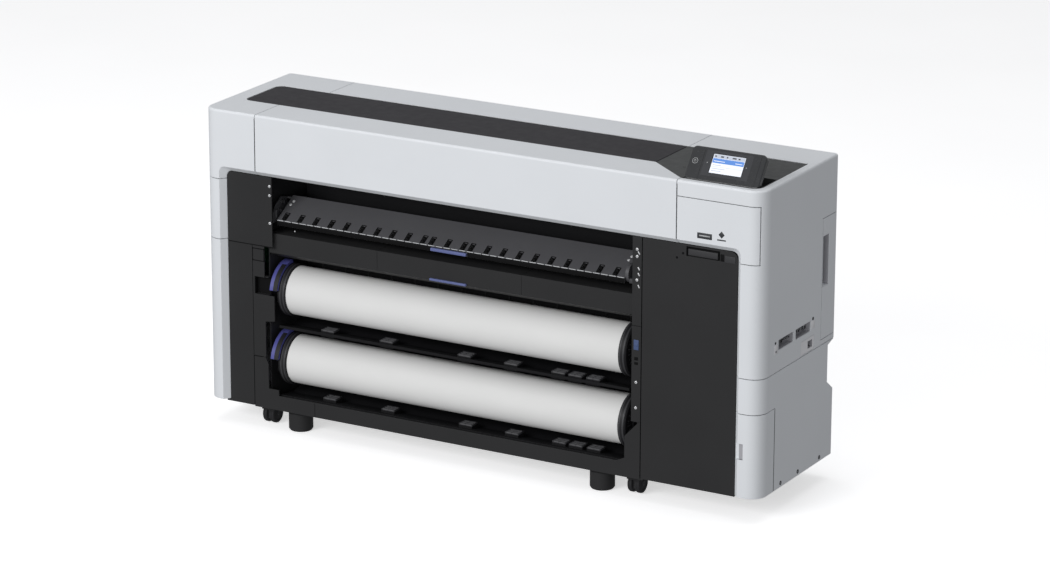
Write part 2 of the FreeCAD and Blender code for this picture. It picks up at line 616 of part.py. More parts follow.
def paper_and_flanges(number, height):
    """One paper roll and the pair of flanges in its ends."""
    paper = spin(f"Paper{number}",
                 [("-roll_left", "core_bore"), ("roll_right", "core_bore"),
                  ("roll_right", "roll_radius"), ("-roll_left", "roll_radius")],
                 at=("0", "roll_y", height))
    node(f"roll_{number}_paper", paper)
    left = spin(f"LeftFlange{number}",
                [("-roll_left - 55", "0"), ("60 - roll_left", "0"), ("60 - roll_left", "core_bore - 0.5"),
                 ("-roll_left - 0.5", "core_bore - 0.5"), ("-roll_left - 0.5", "flange_radius"),
                 ("-roll_left - 22", "flange_radius"), ("-roll_left - 28", "flange_radius - 6"),
                 ("-roll_left - 28", "stub_radius"), ("-roll_left - 55", "stub_radius")],
                at=("0", "roll_y", height))
    right = spin(f"RightFlange{number}",
                 [("roll_right - 60", "0"), ("roll_right + 55", "0"), ("roll_right + 55", "stub_radius"),
                  ("roll_right + 28", "stub_radius"), ("roll_right + 28", "30"), ("roll_right + 24", "34"),
                  ("roll_right + 24", "flange_radius - 4"), ("roll_right + 20", "flange_radius"),
                  ("roll_right + 0.5", "flange_radius"), ("roll_right + 0.5", "core_bore - 0.5"),
                  ("roll_right - 60", "core_bore - 0.5")],
                 at=("0", "roll_y", height))
    hole = rod(f"FlangeHole{number}", "x", ("roll_y", f"{height} + 58"),
               ("roll_right + 12", "roll_right + 30"), "4")
    holes = []
    for step in range(6):
        turned = doc.addObject("Part::Compound", f"FlangeHole{number}Turn{step}")
        turned.Links = [hole]
        middle = Vector(0, value("roll_y"), value(height))
        turned.Placement = Placement(Vector(), Rotation(Vector(1, 0, 0), 60 * step + 20), middle)
        holes.append(turned)
    drilled = cut(f"DrilledFlange{number}", right, holes)
    node(f"roll_{number}_flanges", group(f"Flanges{number}", [left, drilled]))


def lock_lever(number, height):
    """The curved lever that turns on the left stub of one roll."""
    through = ("-roll_left - 60", "-roll_left - 10")

    def ring_between(name, span, inner, outer):
        disc = rod(f"{name}Disc{number}", "x", ("roll_y", height), span, outer)
        bore = rod(f"{name}Bore{number}", "x", ("roll_y", height), through, inner)
        return cut(f"{name}{number}", disc, [bore])

    hub_span = ("-roll_left - 45", "-roll_left - 32")
    ring = ring_between("LeverRing", hub_span, "stub_radius + 0.4", "stub_radius + 8")
    band = ring_between("LeverBand", ("-roll_left - 45", "-roll_left - 19"), "81.5", "90.5")
    quarter = box(f"LeverQuarter{number}", through, ("roll_y - 100", "roll_y + 2"),
                  (f"{height} + 16", f"{height} + 100"))
    arm = box(f"LeverArm{number}", hub_span, ("roll_y - 83", "roll_y - stub_radius - 3"),
              (f"{height} + 17", f"{height} + 27"))
    web = box(f"LeverWeb{number}", hub_span, ("roll_y - 26", "roll_y - stub_radius - 3"),
              (f"{height} + 4", f"{height} + 24"))
    curve = common(f"LeverArc{number}", band, quarter)
    node(f"roll_{number}_lever", fuse(f"Lever{number}", [ring, curve, arm, web]))


def roll_trays():
    """Shelves under the two rolls, each with a row of low pads, and the wall behind the rolls."""
    pieces = [box("TrayWall", ("-690", "486"), ("-33", "-29"), ("92", "744"))]
    for name, front, level, inset in (("Upper", "-196", "314", "8"), ("Lower", "-205", "101", "24")):
        shelf = prism(f"Tray{name}", "x",
                      [(front, f"{level} + 8"), (front, level), ("roll_y", f"{level} - 14"),
                       ("-30", f"{level} + 2"), ("-30", f"{level} + 10"), ("roll_y", f"{level} - 6")],
                      ("-690", "486"))
        pads = [box(f"Pad{name}{number}", (f"{x} - 22", f"{x} + 22"),
                    (f"{front} + {inset}", f"{front} + {inset} + 36"), (f"{level} - 6", f"{level} + 10"))
                for number, x in enumerate((-527, -325, -61, 94, 250, 305, 364))]
        pieces += [shelf] + pads
    node("roll_trays", fuse("RollTrays", pieces))


def platen_and_rollers():
    platen = prism("Platen", "z", rectangle("-700", "495", "-62", "48"), ("platen_top - 20", "platen_top"))
    slot = pocket(platen, "VacuumSlot", "z", "platen_top", "3",
                  lambda sketch: add_outline(sketch, rectangle("-680", "-640", "-30", "-22")))
    pattern(platen, slot, "H_Axis", "1115", 20)
    node("platen", platen)

    roller = rod("FeedRollerBarrel", "x", ("feed_y", "feed_z"), ("-700", "495"), "feed_radius")
    shaft = rod("FeedRollerShaft", "x", ("feed_y", "feed_z"),
                ("-left_plate + plate_thick + 0.5", "right_plate - 0.5"), "6")
    node("feed_roller", fuse("FeedRoller", [roller, shaft]))
    pinch_z = "feed_z + feed_radius + 0.6 + pinch_radius"
    tyres = [rod(f"PinchTyre{number}", "x", ("feed_y", pinch_z), (f"{x}", f"{x} + 60"), "pinch_radius")
             for number, x in enumerate(range(-680, 441, 112))]
    bar = rod("PinchShaft", "x", ("feed_y", pinch_z), ("-700", "495"), "3")
    node("pinch_rollers", fuse("PinchRollers", tyres + [bar]))


def rail_and_belt():
    front, groove, back = "rail_front", "rail_front + 8", "rail_front + 38"
    section = [(front, "rail_low"), (back, "rail_low"), (back, "rail_high"), (front, "rail_high"),
               (front, "rail_high - 12"), (groove, "rail_high - 16"),
               (groove, "rail_low + 16"), (front, "rail_low + 12")]
    rail = prism("CarriageRail", "x", section, ("-840", "838"))
    feet = [box(f"RailFoot{number}", (f"{x}", f"{x} + 4"), ("rail_front + 4", "rail_front + 34"),
                ("780", "rail_low + 1")) for number, x in enumerate((-723, 513))]
    node("carriage_rail", fuse("CarriageRailFooted", [rail] + feet))

    loop_y = ("76.5", "83.5")
    outline = {}
    for name, radius in (("Outer", "13.8"), ("Inner", "12.2")):
        flat = box(f"Belt{name}Flat", ("-pulley_left", "pulley_right"), loop_y,
                   (f"belt_z - {radius}", f"belt_z + {radius}"))
        turns = [rod(f"Belt{name}Turn{number}", "y", (x, "belt_z"), loop_y, radius)
                 for number, x in enumerate(("-pulley_left", "pulley_right"))]
        outline[name] = fuse(f"Belt{name}", [flat] + turns)
    node("carriage_belt", cut("CarriageBelt", outline["Outer"], [outline["Inner"]]))
    for name, x in (("motor_pulley", "pulley_right"), ("idler_pulley", "-pulley_left")):
        hub = rod(name + "Hub", "y", (x, "belt_z"), ("73", "87"), "pulley_radius - 0.3")
        rims = [rod(f"{name}Rim{number}", "y", (x, "belt_z"), (low, f"{low} + 2"), "pulley_radius + 3.5")
                for number, low in enumerate(("73", "85"))]
        node(name, fuse(name.title().replace("_", ""), [hub] + rims))


def carriage_and_station():
    body = box("CarriageBody", ("645", "795"), ("-58", "58"), ("806", "900"))
    head = box("CarriageTop", ("660", "780"), ("-50", "40"), ("899", "930"))
    nozzles = box("PrintHead", ("665", "775"), ("-40", "30"), ("803", "807"))
    bridge = box("BeltBridge", ("690", "750"), ("50", "90"), ("888.5", "896.5"))
    runner = box("RailRunner", ("650", "790"), ("50", "rail_front + 7"), ("863.5", "868.5"))
    node("print_carriage", fuse("PrintCarriage", [body, head, nozzles, bridge, runner]))

    station = box("CappingBody", ("648", "792"), ("-60", "52"), ("744", "794"))
    caps = [box(f"Cap{number}", (f"{x}", f"{x} + 40"), ("-38", "28"), ("793", "800"))
            for number, x in enumerate((668, 732))]
    node("capping_station", fuse("CappingStation", [station] + caps))


# ---------------------------------------------------------------- frame and inner units
FEET = [(x, y) for x in ("-foot_left", "foot_right") for y in ("-foot_y", "foot_y")]


def frame_plate(name, label, low, inward):
    """A side plate with the two cradles that hold the roll ends."""
    sheet_metal = box(name + "Sheet", (low, f"{low} + plate_thick"), ("-196", "186"), ("80.5", "779"))
    span = (f"{low} + plate_thick - 1", f"{low} + plate_thick + 7")
    if inward < 0:
        span = (f"{low} - 12", f"{low} + 1")
    cradles = []
    for number, height in ((1, "roll_high"), (2, "roll_low")):
        block = box(f"{name}Cradle{number}", span, ("roll_y - 30", "roll_y + 30"),
                    (f"{height} - 40", height))
        seat = rod(f"{name}Seat{number}", "x", ("roll_y", height), (f"{low} - 30", f"{low} + 30"),
                   "stub_radius + 0.5")
        cradles.append(cut(f"{name}Cradled{number}", block, [seat]))
    bearing = rod(name + "Bearing", "x", ("guide_pin_y", "guide_pin_z"), (f"{low} - 1", f"{low} + 5"),
                  "guide_pin + 0.4")
    node(label, cut(name, fuse(name + "Cradled", [sheet_metal] + cradles), [bearing]))


def steel_frame():
    pan = prism("BasePan", "z", rectangle("-838", "838", "-208", "205"), ("66", "80"))
    well = rectangle("-834", "834", "-204", "201")
    pocket(pan, "PanWell", "z", "80", "10", lambda sketch: add_outline(sketch, well))
    holes = [rod(f"StemHole{number}", "z", spot, ("60", "90"), "7") for number, spot in enumerate(FEET)]
    node("base_frame", cut("BaseFrame", pan, holes))
    frame_plate("LeftPlate", "left_frame_plate", "-left_plate", 1)
    frame_plate("RightPlate", "right_frame_plate", "right_plate", -1)


def electronics():
    node("power_supply", box("SupplyCase", ("-832", "-736"), ("-130", "140"), ("84", "300")))
    board = box("BoardSheet", ("-834", "-832"), ("-150", "150"), ("340", "700"))
    chips = [box(f"Chip{number}", ("-832.5", "-824"), (f"{y}", f"{y} + 44"), (f"{z}", f"{z} + 44"))
             for number, (y, z) in enumerate((y, z) for y in (-120, -20, 80) for z in (380, 500, 620))]
    node("main_board", fuse("MainBoard", [board] + chips))


def ink_units():
    node("maintenance_box", box("MaintenanceBox", ("848", "908"), ("-205", "-40"), ("84", "300")))

    shell = box("CabinetCase", ("541", "832"), ("-196", "110"), ("84", "736"))
    bays = [box(f"Bay{number}", ("545", "828"), ("-197", "106"), (f"{low}", f"{low + 102}"))
            for number, low in enumerate(range(88, 736, 108))]
    node("ink_cabinet", cut("InkCabinet", shell, bays))
    trays = []
    for number, low in enumerate(range(90, 736, 108)):
        tray = box(f"InkTray{number}", ("548", "825"), ("-194", "100"), (f"{low}", f"{low + 92}"))
        pull = box(f"TrayPull{number}", ("640", "733"), ("-195", "-180"), (f"{low + 12}", f"{low + 40}"))
        trays.append(cut(f"InkTrayCut{number}", tray, [pull]))
    node("ink_trays", group("InkTrays", trays))


def connectors():
    wells = port_slots("PortWell", ("width / 2 - 26", "width / 2 - 3.4"), 4)
    mouths = port_slots("PortMouth", ("width / 2 - 22", OUT), 0)
    ports = [cut(f"Port{number}", well, [mouth])
             for number, (well, mouth) in enumerate(zip(wells, mouths), start=1)]
    inlet = box("InletBlock", ("width / 2 - 30", "width / 2 - 1"), ("14.5", "97.5"), ("428.5", "469.5"))
    socket = box("InletSocket", ("width / 2 - 20", OUT), ("58", "88"), ("438", "460"))
    prongs = [box(f"Prong{number}", ("width / 2 - 21", "width / 2 - 8"), (f"{y}", f"{y} + 2"),
                  ("446", "452"))
              for number, y in enumerate((64, 72, 80))]
    ports.append(fuse("InletPronged", [cut("Inlet", inlet, [socket])] + prongs))
    node("connector_ports", group("ConnectorPorts", ports))


def cover_screws():
    front = SKIN_FRONT
    spots = [("-703", height) for height in ("753", "725", "640")]
    spots += [("519", height) for height in ("744", "723", "654", "352", "276")]
    heads = [rod(f"FrontScrew{number}", "y", spot, (f"{front} - 1.2", front), "4.2")
             for number, spot in enumerate(spots)]
    heads += [rod(f"SideScrew{side}{number}", "x", (y, "86"), span, "3.2")
              for side, span in (("Right", ("width / 2 - 2.6", "width / 2 - 0.8")),
                                 ("Left", ("0.8 - width / 2", "2.6 - width / 2")))
              for number, y in enumerate(SIDE_SCREWS)]
    node("cover_screws", group("CoverScrews", heads))


def running_gear():
    """Twin-wheel casters and screw-down feet."""
    stations = {"front_left": ("-caster_left", "-foot_y"), "front_right": ("caster_right", "-foot_y"),
                "rear_left": ("-caster_left", "foot_y"), "rear_right": ("caster_right", "foot_y")}
    for place, (x, y) in stations.items():
        tag = place.title().replace("_", "")
        axle_y = f"{y} + wheel_trail"
        collar = rod(f"Collar{tag}", "z", (x, y), ("59", "65.5"), "13")
        web = box(f"Web{tag}", (f"{x} - 3.5", f"{x} + 3.5"), (f"{y} - 6", f"{y} + 28"), ("16", "60"))
        hood = box(f"Hood{tag}", (f"{x} - 21", f"{x} + 21"), (f"{y} - 13", f"{y} + 18"), ("59", "62.5"))
        axle = rod(f"Axle{tag}", "x", (axle_y, "wheel_radius"), (f"{x} - 21", f"{x} + 21"), "4")
        node(f"caster_fork_{place}", fuse(f"Fork{tag}", [collar, web, hood, axle]))
        wheels = []
        for side, low, high in (("A", "-20", "-4.5"), ("B", "4.5", "20")):
            wheels.append(spin(f"Wheel{tag}{side}",
                               [(low, "4.4"), (high, "4.4"), (high, "wheel_radius - 3"),
                                (f"{high} - 3", "wheel_radius"), (f"{low} + 3", "wheel_radius"),
                                (low, "wheel_radius - 3")],
                               at=(x, axle_y, "wheel_radius")))
        node(f"caster_wheels_{place}", group(f"Wheels{tag}", wheels))

    feet = []
    upright = Rotation(Vector(1, 0, 0), 90)
    for number, (x, y) in enumerate(FEET):
        feet.append(spin(f"Foot{number}",
                         [("0", "0"), ("33", "0"), ("36.5", "5"), ("36.5", "52"), ("32", "57"),
                          ("6", "57"), ("6", "78"), ("0", "78")],
                         axis="V_Axis", at=(x, y, "0"), turn=upright))
    node("levelling_feet", group("LevellingFeet", feet))


# ---------------------------------------------------------------- build and write
def check_and_write():
    doc.recompute()
    broken = [item.Name for item in doc.Objects if "Invalid" in item.State or "Error" in item.State]
    if broken:
        raise RuntimeError("failed objects: " + ", ".join(broken))
    for label, item in NODES.items():
        if item.Shape.isNull() or not item.Shape.isValid() or not item.Shape.Solids:
            raise RuntimeError(label + " has no valid solid")
    for label, item in NODES.items():
        item.Shape.exportStep(f"parts/{label}.step")
    print(len(NODES), "pieces written")


skin = outer_skin()
left_covers(skin)
rear_covers(skin)
right_covers(skin)
printer_cover_shell(skin)
printer_window()
control_panel()
black_panels()
ink_door()
paper_guide()
feeder_beam()
for number, height in ((1, "roll_high"), (2, "roll_low")):
    paper_and_flanges(number, height)
    lock_lever(number, height)
roll_trays()
platen_and_rollers()
rail_and_belt()
carriage_and_station()
steel_frame()
electronics()
ink_units()
connectors()
cover_screws()
running_gear()
check_and_write()
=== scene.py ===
import json
import math

import bmesh
import bpy
from mathutils import Matrix, Vector


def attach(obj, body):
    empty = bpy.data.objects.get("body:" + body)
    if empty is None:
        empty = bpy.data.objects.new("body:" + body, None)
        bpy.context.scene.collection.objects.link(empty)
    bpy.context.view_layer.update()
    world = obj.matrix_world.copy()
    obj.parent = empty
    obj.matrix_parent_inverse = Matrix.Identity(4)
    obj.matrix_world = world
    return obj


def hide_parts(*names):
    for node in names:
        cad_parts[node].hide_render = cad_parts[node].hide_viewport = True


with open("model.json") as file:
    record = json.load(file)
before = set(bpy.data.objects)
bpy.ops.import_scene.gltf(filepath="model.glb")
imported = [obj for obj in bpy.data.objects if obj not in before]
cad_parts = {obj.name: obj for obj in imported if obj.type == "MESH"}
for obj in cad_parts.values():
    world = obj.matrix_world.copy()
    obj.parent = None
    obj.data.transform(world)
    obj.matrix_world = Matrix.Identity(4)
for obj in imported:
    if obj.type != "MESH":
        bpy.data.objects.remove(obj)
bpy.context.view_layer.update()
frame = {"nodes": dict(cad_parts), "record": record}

MM = 0.001
NODES = frame["nodes"]
COLLECTION = bpy.context.scene.collection

# Main places and sizes of the machine, in millimetres.
SIDE_WALL = 920
COVER_FRONT = -238
PANEL_FACE = -218.7
ROLL_LEFT, ROLL_RIGHT, ROLL_Y = -663, 455, -130
ROLL_LEVELS = {1: 418, 2: 205}
GUIDE_FRONT, GUIDE_LEVEL, GUIDE_RISE = -200, 648, 0.6
GUIDE_SLOPE = math.atan(GUIDE_RISE)
GRIP_LEFT, GRIP_RIGHT = -161.3, -42.7


# ---------------------------------------------------------------- materials
def linear(red, green, blue):
    """An sRGB colour, 0 to 255, as linear values with alpha."""
    def one(level):
        level /= 255
        return level / 12.92 if level <= 0.04045 else ((level + 0.055) / 1.055) ** 2.4
    return (one(red), one(green), one(blue), 1.0)


def shade(colour, factor):
    """The same colour, made darker or lighter."""
    return tuple(min(1.0, level * factor) for level in colour[:3]) + (1.0,)


# The colour sockets of a mix node.
MIX_FACTOR, MIX_FIRST, MIX_SECOND, MIX_RESULT = 0, 6, 7, 2


class Graph:
    """A small wrapper that makes and joins shader nodes."""

    def __init__(self, name):
        self.material = bpy.data.materials.new(name)
        self.material.use_nodes = True
        self.tree = self.material.node_tree
        self.shader = self.tree.nodes["Principled BSDF"]
        self.place = self.add("ShaderNodeTexCoord").outputs["Object"]

    def add(self, kind, **settings):
        made = self.tree.nodes.new(kind)
        for key, setting in settings.items():
            setattr(made, key, setting)
        return made

    def link(self, source, target):
        self.tree.links.new(source, target)

    def feed(self, source, target):
        """Join an output to an input, or set the input when the source is a plain value."""
        if isinstance(source, (float, tuple)):
            target.default_value = source
        else:
            self.link(source, target)

    def noise(self, scale, detail=2.0, roughness=0.5, stretch=None):
        texture = self.add("ShaderNodeTexNoise")
        texture.inputs["Scale"].default_value = scale
        texture.inputs["Detail"].default_value = detail
        texture.inputs["Roughness"].default_value = roughness
        source = self.place
        if stretch is not None:
            mapping = self.add("ShaderNodeMapping")
            mapping.inputs["Scale"].default_value = stretch
            self.link(self.place, mapping.inputs["Vector"])
            source = mapping.outputs["Vector"]
        self.link(source, texture.inputs["Vector"])
        return texture.outputs["Fac"]

    def spread(self, source, low, high, from_low=0.3, from_high=0.7):
        ranged = self.add("ShaderNodeMapRange")
        self.link(source, ranged.inputs["Value"])
        for label, number in (("From Min", from_low), ("From Max", from_high),
                              ("To Min", low), ("To Max", high)):
            ranged.inputs[label].default_value = number
        return ranged.outputs["Result"]

    def mix(self, factor, first, second):
        mixed = self.add("ShaderNodeMix", data_type="RGBA")
        for source, socket in ((factor, MIX_FACTOR), (first, MIX_FIRST), (second, MIX_SECOND)):
            self.feed(source, mixed.inputs[socket])
        return mixed.outputs[MIX_RESULT]

    def multiply(self, first, second):
        product = self.add("ShaderNodeMath", operation="MULTIPLY")
        self.feed(first, product.inputs[0])
        self.feed(second, product.inputs[1])
        return product.outputs[0]


def surface(name, colour, roughness, metallic=0.0, grain=1500.0, height=0.05, mottle=0.05,
            spread=0.06, edge_wear_and_highlight=0.25, edge_wear_and_highlight_colour=None, edge=0.0012, coat=0.0, specular=0.5,
            stretch=None, emission=0.0):
    """A moulded, painted or metal surface: grain, soft edges, uneven gloss, and edges mixed towards an edge
    colour that is partly wear and partly a painted highlight (lighter on dark plastics, darker on the white
    cover).
    """
    graph = Graph(name)
    shader = graph.shader
    shader.inputs["Metallic"].default_value = metallic
    shader.inputs["Coat Weight"].default_value = coat
    shader.inputs["Coat Roughness"].default_value = 0.12
    shader.inputs["Specular IOR Level"].default_value = specular
    broad = graph.spread(graph.noise(5.0, 3.0), 0.0, 1.0)
    base = graph.mix(broad, shade(colour, 1 - mottle), shade(colour, 1 + mottle))
    speckle = graph.spread(graph.noise(grain * 0.35, 2.0, stretch=stretch), 0.0, 1.0)
    base = graph.mix(graph.multiply(speckle, 0.25), base, shade(colour, 1 - 1.5 * mottle))
    bevel = graph.add("ShaderNodeBevel", samples=4)
    bevel.inputs["Radius"].default_value = edge
    geometry = graph.add("ShaderNodeNewGeometry")
    aligned = graph.add("ShaderNodeVectorMath", operation="DOT_PRODUCT")
    graph.link(bevel.outputs["Normal"], aligned.inputs[0])
    graph.link(geometry.outputs["Normal"], aligned.inputs[1])
    # Edges found by the bevel normal are mixed towards the edge colour: partly wear, and on dark plastics
    # also a painted highlight along the rounded edges.
    rim = graph.spread(aligned.outputs["Value"], edge_wear_and_highlight, 0.0, 0.80, 0.99)
    patch = graph.spread(graph.noise(90.0, 3.0), 0.4, 1.0, 0.35, 0.6)
    edge_wear_and_highlight_tone = edge_wear_and_highlight_colour or shade(colour, 0.8)
    graph.link(graph.mix(graph.multiply(rim, patch), base, edge_wear_and_highlight_tone), shader.inputs["Base Color"])
    dull = graph.spread(graph.noise(40.0, 4.0, 0.6), roughness - spread, roughness + spread)
    graph.link(dull, shader.inputs["Roughness"])
    bump = graph.add("ShaderNodeBump")
    bump.inputs["Strength"].default_value = 0.5
    bump.inputs["Distance"].default_value = height * MM
    graph.link(graph.noise(grain, 3.0, 0.6, stretch), bump.inputs["Height"])
    graph.link(bevel.outputs["Normal"], bump.inputs["Normal"])
    graph.link(bump.outputs["Normal"], shader.inputs["Normal"])
    if emission:
        shader.inputs["Emission Color"].default_value = colour
        shader.inputs["Emission Strength"].default_value = emission
    return graph.material


def paper_surface(name, colour):
    """Uncoated paper: fibres, a very slight wave in tone, no gloss."""
    graph = Graph(name)
    shader = graph.shader
    fibre = graph.spread(graph.noise(900.0, 4.0, 0.7, (0.25, 1.0, 1.0)), 0.0, 1.0)
    cloud = graph.spread(graph.noise(7.0, 3.0, stretch=(1.0, 3.0, 3.0)), 0.0, 1.0)
    tone = graph.mix(cloud, shade(colour, 0.975), colour)
    graph.link(graph.mix(graph.multiply(fibre, 0.12), tone, shade(colour, 0.86)),
               shader.inputs["Base Color"])
    graph.link(graph.spread(graph.noise(60.0, 3.0), 0.78, 0.9), shader.inputs["Roughness"])
    shader.inputs["Specular IOR Level"].default_value = 0.25
    bump = graph.add("ShaderNodeBump")
    bump.inputs["Strength"].default_value = 0.35
    bump.inputs["Distance"].default_value = 0.05 * MM
    graph.link(graph.noise(700.0, 4.0, 0.7, (0.3, 1.0, 1.0)), bump.inputs["Height"])
    graph.link(bump.outputs["Normal"], shader.inputs["Normal"])
    return graph.material


WHITE = linear(231, 234, 238)
BLACK = linear(45, 45, 46)
white_cover = surface("white_cover", WHITE, 0.46, grain=1400.0, height=0.04, mottle=0.012, spread=0.05,
                      edge_wear_and_highlight=0.35, edge_wear_and_highlight_colour=shade(WHITE, 0.86), edge=0.0016, specular=0.4)
black_plastic = surface("black_plastic", BLACK, 0.6, grain=1700.0, height=0.06, mottle=0.06,
                        edge_wear_and_highlight=0.5, edge_wear_and_highlight_colour=linear(78, 78, 80), edge=0.0012, specular=0.22)
deep_plastic_and_recess_shade = surface("deep_plastic_and_recess_shade", linear(32, 32, 34), 0.62, grain=1500.0, height=0.06, mottle=0.08,
                       edge_wear_and_highlight=0.5, edge_wear_and_highlight_colour=linear(66, 66, 68), specular=0.2)
slot_black = surface("slot_black", linear(16, 16, 17), 0.75, grain=900.0, height=0.05, mottle=0.1,
                     edge_wear_and_highlight=0.3, edge_wear_and_highlight_colour=linear(40, 40, 42), specular=0.12)
grip_plastic = surface("grip_plastic", linear(58, 58, 60), 0.5, grain=1500.0, height=0.05, mottle=0.05,
                       edge_wear_and_highlight=0.5, edge_wear_and_highlight_colour=linear(92, 92, 95), specular=0.3)
grey_plastic = surface("grey_plastic", linear(60, 60, 63), 0.52, grain=1500.0, height=0.05, mottle=0.05,
                       edge_wear_and_highlight=0.5, edge_wear_and_highlight_colour=linear(104, 104, 107))
window_plastic = surface("window_plastic", linear(36, 34, 39), 0.4, grain=2200.0, height=0.012,
                         mottle=0.03, spread=0.03, edge_wear_and_highlight=0.4, edge_wear_and_highlight_colour=linear(84, 82, 88), specular=0.3)
tray_plastic = surface("tray_plastic", linear(62, 64, 64), 0.42, grain=1900.0, height=0.03, mottle=0.03,
                       edge_wear_and_highlight=0.4, edge_wear_and_highlight_colour=linear(108, 110, 110))
blue_plastic = surface("blue_plastic", linear(84, 86, 156), 0.4, grain=1600.0, height=0.04, mottle=0.05,
                       edge_wear_and_highlight=0.35, edge_wear_and_highlight_colour=linear(118, 120, 186), specular=0.35)
pull_plastic = surface("pull_plastic", linear(104, 114, 164), 0.42, grain=1600.0, height=0.04, mottle=0.05,
                       edge_wear_and_highlight=0.35, edge_wear_and_highlight_colour=linear(134, 142, 190), specular=0.35)
latch_plastic = surface("latch_plastic", linear(76, 92, 132), 0.42, mottle=0.04,
                        edge_wear_and_highlight_colour=linear(104, 120, 156), specular=0.3)
panel_plastic = surface("panel_plastic", linear(54, 55, 57), 0.26, grain=2400.0, height=0.01, mottle=0.02,
                        spread=0.04, edge_wear_and_highlight=0.25, edge_wear_and_highlight_colour=linear(84, 85, 88), edge=0.0016, coat=0.15)
touch_plastic = surface("touch_plastic", linear(62, 63, 66), 0.3, grain=2400.0, height=0.01, mottle=0.02,
                        spread=0.03, edge_wear_and_highlight=0.2, edge_wear_and_highlight_colour=linear(90, 91, 94), coat=0.1)
paper = paper_surface("paper", linear(235, 235, 234))
cardboard = surface("cardboard", linear(176, 150, 118), 0.8, grain=700.0, height=0.08, mottle=0.08,
                    edge_wear_and_highlight_colour=linear(196, 172, 140), specular=0.2)
steel = surface("zinc_steel", linear(176, 178, 180), 0.34, metallic=1.0, grain=900.0, height=0.02,
                mottle=0.06, edge_wear_and_highlight_colour=linear(205, 206, 208), stretch=(0.1, 1.0, 1.0))
bright_zinc = surface("bright_zinc", linear(226, 227, 229), 0.4, metallic=0.35, grain=900.0, height=0.02,
                      mottle=0.04, edge_wear_and_highlight_colour=linear(240, 240, 241))
side_grey_and_painted_shade = surface("side_grey_and_painted_shade", linear(172, 172, 177), 0.5, grain=1500.0, height=0.04, mottle=0.06,
                       edge_wear_and_highlight_colour=linear(192, 192, 196))
pale_plate = surface("pale_plate", linear(240, 240, 243), 0.5, mottle=0.06, edge_wear_and_highlight_colour=linear(205, 205, 208))
grip_cup_shade_grey = surface("grip_cup_shade_grey", linear(168, 168, 173), 0.55, mottle=0.05,
                     edge_wear_and_highlight_colour=linear(186, 186, 190))
guide_plastic = surface("guide_plastic", linear(86, 86, 89), 0.5, grain=1500.0, height=0.05, mottle=0.05,
                        edge_wear_and_highlight=0.4, edge_wear_and_highlight_colour=linear(116, 116, 119), specular=0.3)
flange_black_and_lever_shade = surface("flange_black_and_lever_shade", linear(34, 34, 36), 0.52, grain=1500.0, height=0.05, mottle=0.05,
                         edge_wear_and_highlight=0.4, edge_wear_and_highlight_colour=linear(84, 84, 87), specular=0.3)
tray_black = surface("tray_black", linear(26, 26, 28), 0.62, grain=1500.0, height=0.06, mottle=0.08,
                     edge_wear_and_highlight=0.4, edge_wear_and_highlight_colour=linear(54, 54, 56), specular=0.15)
dark_steel = surface("dark_steel", linear(44, 44, 46), 0.5, metallic=0.3, grain=800.0, mottle=0.08,
                     edge_wear_and_highlight=0.6, edge_wear_and_highlight_colour=linear(120, 120, 122))
aluminium = surface("aluminium", linear(200, 202, 205), 0.45, metallic=1.0, grain=1100.0, height=0.015,
                    mottle=0.03, stretch=(0.05, 1.0, 1.0))
rubber = surface("rubber", linear(40, 40, 42), 0.72, grain=1300.0, height=0.1, mottle=0.1, spread=0.08,
                 edge_wear_and_highlight=0.4, edge_wear_and_highlight_colour=linear(72, 72, 73), specular=0.3)
belt_rubber = surface("belt_rubber", linear(34, 34, 36), 0.62, grain=900.0, height=0.08, mottle=0.08)
circuit = surface("circuit_board", linear(30, 104, 62), 0.38, grain=420.0, height=0.05, mottle=0.15,
                  coat=0.2)
light_mark = surface("light_mark", linear(196, 198, 200), 0.5, mottle=0.04)
dark_print_and_seam_shade = surface("dark_print_and_seam_shade", linear(52, 54, 58), 0.5, mottle=0.05, edge_wear_and_highlight_colour=linear(90, 92, 96))
screen_white = surface("screen_white", linear(232, 236, 244), 0.15, grain=3000.0, height=0.004,
                       mottle=0.01, spread=0.02, emission=0.35)
screen_blue = surface("screen_blue", linear(96, 140, 210), 0.15, grain=3000.0, height=0.004,
                      mottle=0.02, spread=0.02, emission=0.3)
screen_grey = surface("screen_grey", linear(188, 194, 206), 0.15, grain=3000.0, height=0.004,
                      mottle=0.02, spread=0.02, emission=0.25)

SLOT_MATERIALS = {
    "white_cover": white_cover, "black_plastic": black_plastic, "grey_plastic": grey_plastic,
    "window": window_plastic, "tray_plastic": tray_plastic, "blue_plastic": blue_plastic,
    "screen": screen_white, "paper": paper, "steel": steel, "black_steel": dark_steel,
    "aluminium": aluminium, "rubber": rubber, "belt_rubber": belt_rubber, "circuit_board": circuit,
}
NODE_MATERIALS = {"roll_trays": tray_black, "paper_guide": guide_plastic, "roll_1_flanges": flange_black_and_lever_shade,
                  "roll_2_flanges": flange_black_and_lever_shade, "control_panel": panel_plastic,
                  "ink_cabinet": deep_plastic_and_recess_shade, "connector_ports": side_grey_and_painted_shade,
                  "print_carriage": deep_plastic_and_recess_shade}
for row in frame["record"]["subparts"]:
    item = NODES[row["node"]]
    chosen = NODE_MATERIALS.get(row["node"], SLOT_MATERIALS[row["material_slot"]])
    item.data.materials.clear()
    item.data.materials.append(chosen)


# ---------------------------------------------------------------- mesh helpers
SHARP_ANGLE = math.radians(35)


